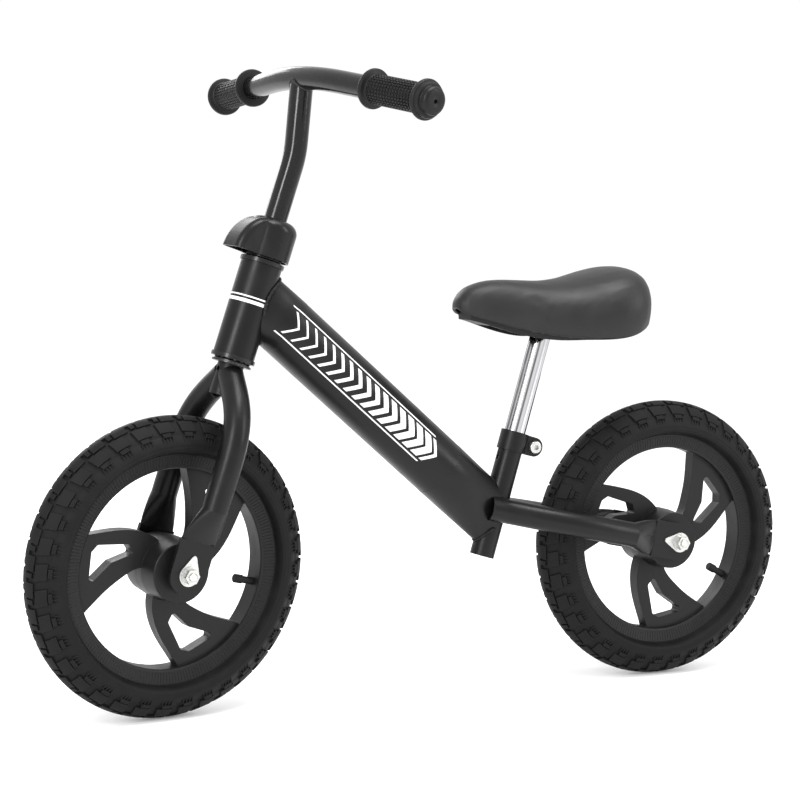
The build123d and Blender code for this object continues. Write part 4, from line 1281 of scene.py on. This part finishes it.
# ------------------------------------------------------------------ saddle
@dataclass
class Saddle:
    """A foam cushion with a soft skin on a moulded base, in millimetres."""

    skirt: float = 4.3
    inset: float = 2.2
    voxel: float = 4.5
    pressure: float = 4.0
    cap: float = 2.6
    spare: float = 16.0
    spanned: float = 0.994
    first_share: float = 0.004
    cloth_frames: int = 20
    stations: tuple[tuple[float, float, float, float], ...] = (
        (0.004, 0.075, 0.400, 0.455), (0.020, 0.180, 0.350, 0.560), (0.060, 0.285, 0.300, 0.690),
        (0.155, 0.370, 0.225, 0.785), (0.255, 0.440, 0.140, 0.808), (0.370, 0.540, 0.065, 0.795),
        (0.470, 0.665, 0.020, 0.785), (0.590, 0.835, 0.000, 0.825), (0.700, 0.950, 0.000, 0.910),
        (0.800, 1.000, 0.030, 0.980), (0.880, 0.960, 0.095, 1.000), (0.945, 0.800, 0.200, 0.945),
        (0.983, 0.560, 0.330, 0.820), (0.998, 0.300, 0.460, 0.680),
    )
    section: tuple[tuple[float, float], ...] = (
        (-0.93, 0.0), (-0.985, 0.16), (-1.0, 0.38), (-0.955, 0.56), (-0.86, 0.73), (-0.70, 0.865),
        (-0.48, 0.95), (-0.24, 0.99), (0.0, 1.0), (0.24, 0.99), (0.48, 0.95), (0.70, 0.865),
        (0.86, 0.73), (0.955, 0.56), (1.0, 0.38), (0.985, 0.16), (0.93, 0.0),
    )

    def __post_init__(self) -> None:
        """Takes the saddle's size from its solid."""
        low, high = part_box("saddle_cushion")
        self.low, self.size = low, high - low
        self.nose = high.x

    def value(self, share: float, column: int) -> float:
        """A station's column, smoothly between stations."""
        places = [s[0] for s in self.stations]
        values = [s[column] for s in self.stations]
        u = min(max(share, places[0]), places[-1])
        k = min(max(int(np.searchsorted(places, u)) - 1, 0), len(places) - 2)

        def slope(i: int) -> float:
            """Slope of the column at station i."""
            a, b = max(i - 1, 0), min(i + 1, len(places) - 1)
            return (values[b] - values[a]) / (places[b] - places[a])

        wide = places[k + 1] - places[k]
        t = (u - places[k]) / wide
        t2, t3 = t * t, t * t * t
        return ((2 * t3 - 3 * t2 + 1) * values[k] + (t3 - 2 * t2 + t) * wide * slope(k)
                + (-2 * t3 + 3 * t2) * values[k + 1] + (t3 - t2) * wide * slope(k + 1))

    def edge_height(self, x: float) -> float:
        """Height of the skirt's lower edge above the saddle's lowest point, in metres."""
        length = self.size.x / self.spanned
        share = (self.nose + self.first_share * length - x) / length
        return self.value(share, 2) * self.size.z

    def form(self) -> bpy.types.Object:
        """The closed cushion with its lower edge straightened flat, a little undersize."""
        data = MeshData()
        points, faces = [], []
        stations = 40
        length = self.size.x / self.spanned
        nose = self.nose + self.first_share * length
        first, last = self.stations[0][0], self.stations[-1][0]
        for i in range(stations + 1):
            share = first + (last - first) * (0.5 - 0.5 * math.cos(math.pi * i / stations))
            x = nose - share * length
            half = max(self.value(share, 1) * self.size.y / 2 - self.inset * MM, 0.003)
            tall = max((self.value(share, 3) - self.value(share, 2)) * self.size.z - self.inset * MM, 0.003)
            squeeze = self.inset * MM * (1 if i == 0 else -1 if i == stations else 0)
            row = [(y * half / MM, z * tall / MM) for y, z in self.section]
            for y, z in [(row[0][0] * 0.98, -self.spare), *row, (row[-1][0] * 0.98, -self.spare)]:
                points.append(((x - squeeze) / MM, y, z))
        wide = len(self.section) + 2
        for i in range(stations):
            for k in range(wide):
                m = (k + 1) % wide
                faces.append((i * wide + k, i * wide + m, (i + 1) * wide + m, (i + 1) * wide + k))
        faces.append(tuple(range(wide)))
        faces.append(tuple(stations * wide + k for k in range(wide)))
        data.add(points, faces)
        return data.piece("saddle_form", Matrix.Identity(4), SaddleSkin(), 60.0)

    def simulate(self, cushion: bpy.types.Object) -> None:
        """Swells the cushion like foam under a stretched skin, with a limit on each point's way."""
        remesh = cushion.modifiers.new("remesh", "REMESH")
        remesh.mode = "VOXEL"
        remesh.voxel_size = self.voxel * MM
        self._apply(cushion)
        before = np.array([v.co for v in cushion.data.vertices])
        cloth = cushion.modifiers.new("cloth", "CLOTH")
        cloth.settings.use_pressure = True
        cloth.settings.uniform_pressure_force = self.pressure
        cloth.settings.effector_weights.gravity = 0.0
        cloth.settings.quality = 5
        scene = bpy.context.scene
        for number in range(1, self.cloth_frames + 1):
            scene.frame_set(number)
        self._apply(cushion)
        scene.frame_set(1)
        after = np.array([v.co for v in cushion.data.vertices])
        way = after - before
        far = np.linalg.norm(way, axis=1, keepdims=True)
        way *= np.minimum(1.0, self.cap * MM / np.maximum(far, 1e-9))
        for vertex, place in zip(cushion.data.vertices, before + way):
            vertex.co = place

    @staticmethod
    def _apply(item: bpy.types.Object) -> None:
        """Turns an object's live modifiers into its mesh."""
        bpy.context.view_layer.update()
        shown = item.evaluated_get(bpy.context.evaluated_depsgraph_get())
        mesh = bpy.data.meshes.new_from_object(shown)
        item.modifiers.clear()
        item.data = mesh

    def fit(self, cushion: bpy.types.Object) -> None:
        """Brings the cushion back to the solid's box, cuts its base flat and bends its edge to shape."""
        built = bmesh.new()
        built.from_mesh(cushion.data)
        geometry = built.verts[:] + built.edges[:] + built.faces[:]
        base = {"plane_co": (0, 0, 0), "plane_no": (0, 0, -1), "clear_outer": True}
        bmesh.ops.bisect_plane(built, geom=geometry, **base)
        places = np.array([v.co for v in built.verts])
        low, high = places.min(0), places.max(0)
        top = max((self.value(s[0], 3) - self.value(s[0], 2)) * self.size.z for s in self.stations)
        goal_low = np.array([self.low.x, self.low.y, 0.0])
        goal_high = np.array([self.nose, self.low.y + self.size.y, top])
        low[2] = 0.0
        places = goal_low + (places - low) / (high - low) * (goal_high - goal_low)
        for vertex, place in zip(built.verts, places):
            vertex.co = place
            vertex.co.z += self.low.z + self.edge_height(vertex.co.x)
        built.to_mesh(cushion.data)
        built.free()

    def build(self) -> list[bpy.types.Object]:
        """Makes the cushion and dresses the seat's solids."""
        cushion = self.form()
        self.simulate(cushion)
        self.fit(cushion)
        wall = cushion.modifiers.new("wall", "SOLIDIFY")
        wall.thickness = self.skirt * MM
        wall.offset = -1.0
        smooth = cushion.modifiers.new("smooth", "SUBSURF")
        smooth.levels = smooth.render_levels = 1
        self._apply(cushion)
        piece = new_piece("saddle_cushion_skin", cushion.data.copy(), SaddleSkin(), 70.0)
        bpy.data.objects.remove(cushion)
        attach(piece, Body.SEAT.value)
        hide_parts("saddle_cushion")
        seat = BikeFrame().seat_axis()
        dress_nodes((
            (MouldedPlastic("saddle_base_plastic", colour=(0.006, 0.006, 0.0065), roughness=0.5), "saddle_base"),
            (Chrome(start=tuple(seat.point), direction=tuple(seat.direction)), "seat_post"),
            (Zinc(), "seat_post_plate saddle_screws"),
        ))
        return [piece]


# ------------------------------------------------------------------ studio
@dataclass
class Studio:
    """Pale floor, soft lights and the camera."""

    azimuth: float = 153.71
    elevation: float = 4.95
    roll: float = 0.92
    distance: float = 2.08162
    lens: float = 94.71
    target: Vector = field(default_factory=lambda: Vector((0.03174, 0.0, 0.29754)))
    boxes: tuple[tuple[str, tuple[float, float, float], tuple[float, float], float], ...] = (
        ("soft_box_left", (2.0, 1.3, 1.3), (0.5, 1.6), 40.0),
        ("soft_box_back", (-1.8, 1.6, 1.3), (0.4, 1.6), 22.0),
        ("soft_box_top", (-0.2, 0.5, 2.3), (1.2, 0.8), 42.0),
        ("soft_box_right", (0.2, -2.2, 1.3), (1.2, 1.0), 16.0),
    )

    def camera(self) -> None:
        """Places the camera on its bearing."""
        az, el, roll = (math.radians(v) for v in (self.azimuth, self.elevation, self.roll))
        back = Vector((math.sin(az) * math.cos(el), -math.cos(az) * math.cos(el), math.sin(el)))
        side = Vector((math.cos(az), math.sin(az), 0.0))
        up = back.cross(side)
        right = side * math.cos(roll) + up * math.sin(roll)
        up = up * math.cos(roll) - side * math.sin(roll)
        data = bpy.data.cameras.new("camera")
        data.lens = self.lens
        data.sensor_width = 36.0
        data.clip_end = 100.0
        camera = bpy.data.objects.new("camera", data)
        place = Matrix((right, up, back)).transposed().to_4x4()
        place.translation = self.target + back * self.distance
        camera.matrix_world = place
        bpy.context.scene.collection.objects.link(camera)
        bpy.context.scene.camera = camera

    def light(self, name: str, place: Vector, size: tuple[float, float], power: float) -> None:
        """Adds one soft box that faces the bike.

        Args:
            name: its name.
            place: where it stands.
            size: its width and height in metres.
            power: its power in watts.
        """
        data = bpy.data.lights.new(name, "AREA")
        data.shape = "RECTANGLE"
        data.size, data.size_y = size
        data.energy = power
        light = bpy.data.objects.new(name, data)
        aim = (self.target - place).to_track_quat("-Z", "Y").to_matrix().to_4x4()
        aim.translation = place
        light.matrix_world = aim
        bpy.context.scene.collection.objects.link(light)

    def world(self) -> None:
        """Sets an even white surround."""
        world = bpy.data.worlds.new("studio")
        world.use_nodes = True
        world.node_tree.nodes.clear()
        graph = Graph(world.node_tree)
        sky = graph.node("ShaderNodeBackground", {}, {"Color": (1.0, 1.0, 1.0), "Strength": 1.02})
        graph.node("ShaderNodeOutputWorld", {}, {"Surface": sky.outputs[0]})
        bpy.context.scene.world = world

    def floor(self) -> None:
        """Lays a wide disc of pale floor."""
        disc = MeshData()
        steps, reach = 64, 20000.0
        turns = [FULL_TURN * i / steps for i in range(steps)]
        points = [(0.0, 0.0, 0.0)] + [(reach * math.cos(turn), reach * math.sin(turn), 0.0) for turn in turns]
        disc.add(points, [(0, 1 + i, 1 + (i + 1) % steps) for i in range(steps)])
        floor = disc.piece("studio_floor", Matrix.Translation((0, 0, -0.0002)), StudioPaper())

    def build(self) -> None:
        """Sets the whole studio."""
        self.camera()
        self.world()
        self.floor()
        for name, place, size, power in self.boxes:
            self.light(name, Vector(place), size, power)
        bpy.context.scene.view_settings.view_transform = "Standard"


def report(pieces: Iterable[bpy.types.Object]) -> None:
    """Logs each piece with its face count."""
    for piece in pieces:
        LOG.info("%s: %d faces", piece.name, len(piece.data.polygons))


def main() -> None:
    """Builds the bike, sub-assembly by sub-assembly, and the studio."""
    Studio().build()
    report(BikeFrame().build())
    dress_fork()
    report(Handlebar().build())
    report(Saddle().build())
    report(Wheel(Body.FRONT_WHEEL, joint_axis("front_wheel_spin")).build())
    report(Wheel(Body.REAR_WHEEL, joint_axis("rear_wheel_spin")).build())


if __name__ == "__main__":
    main()
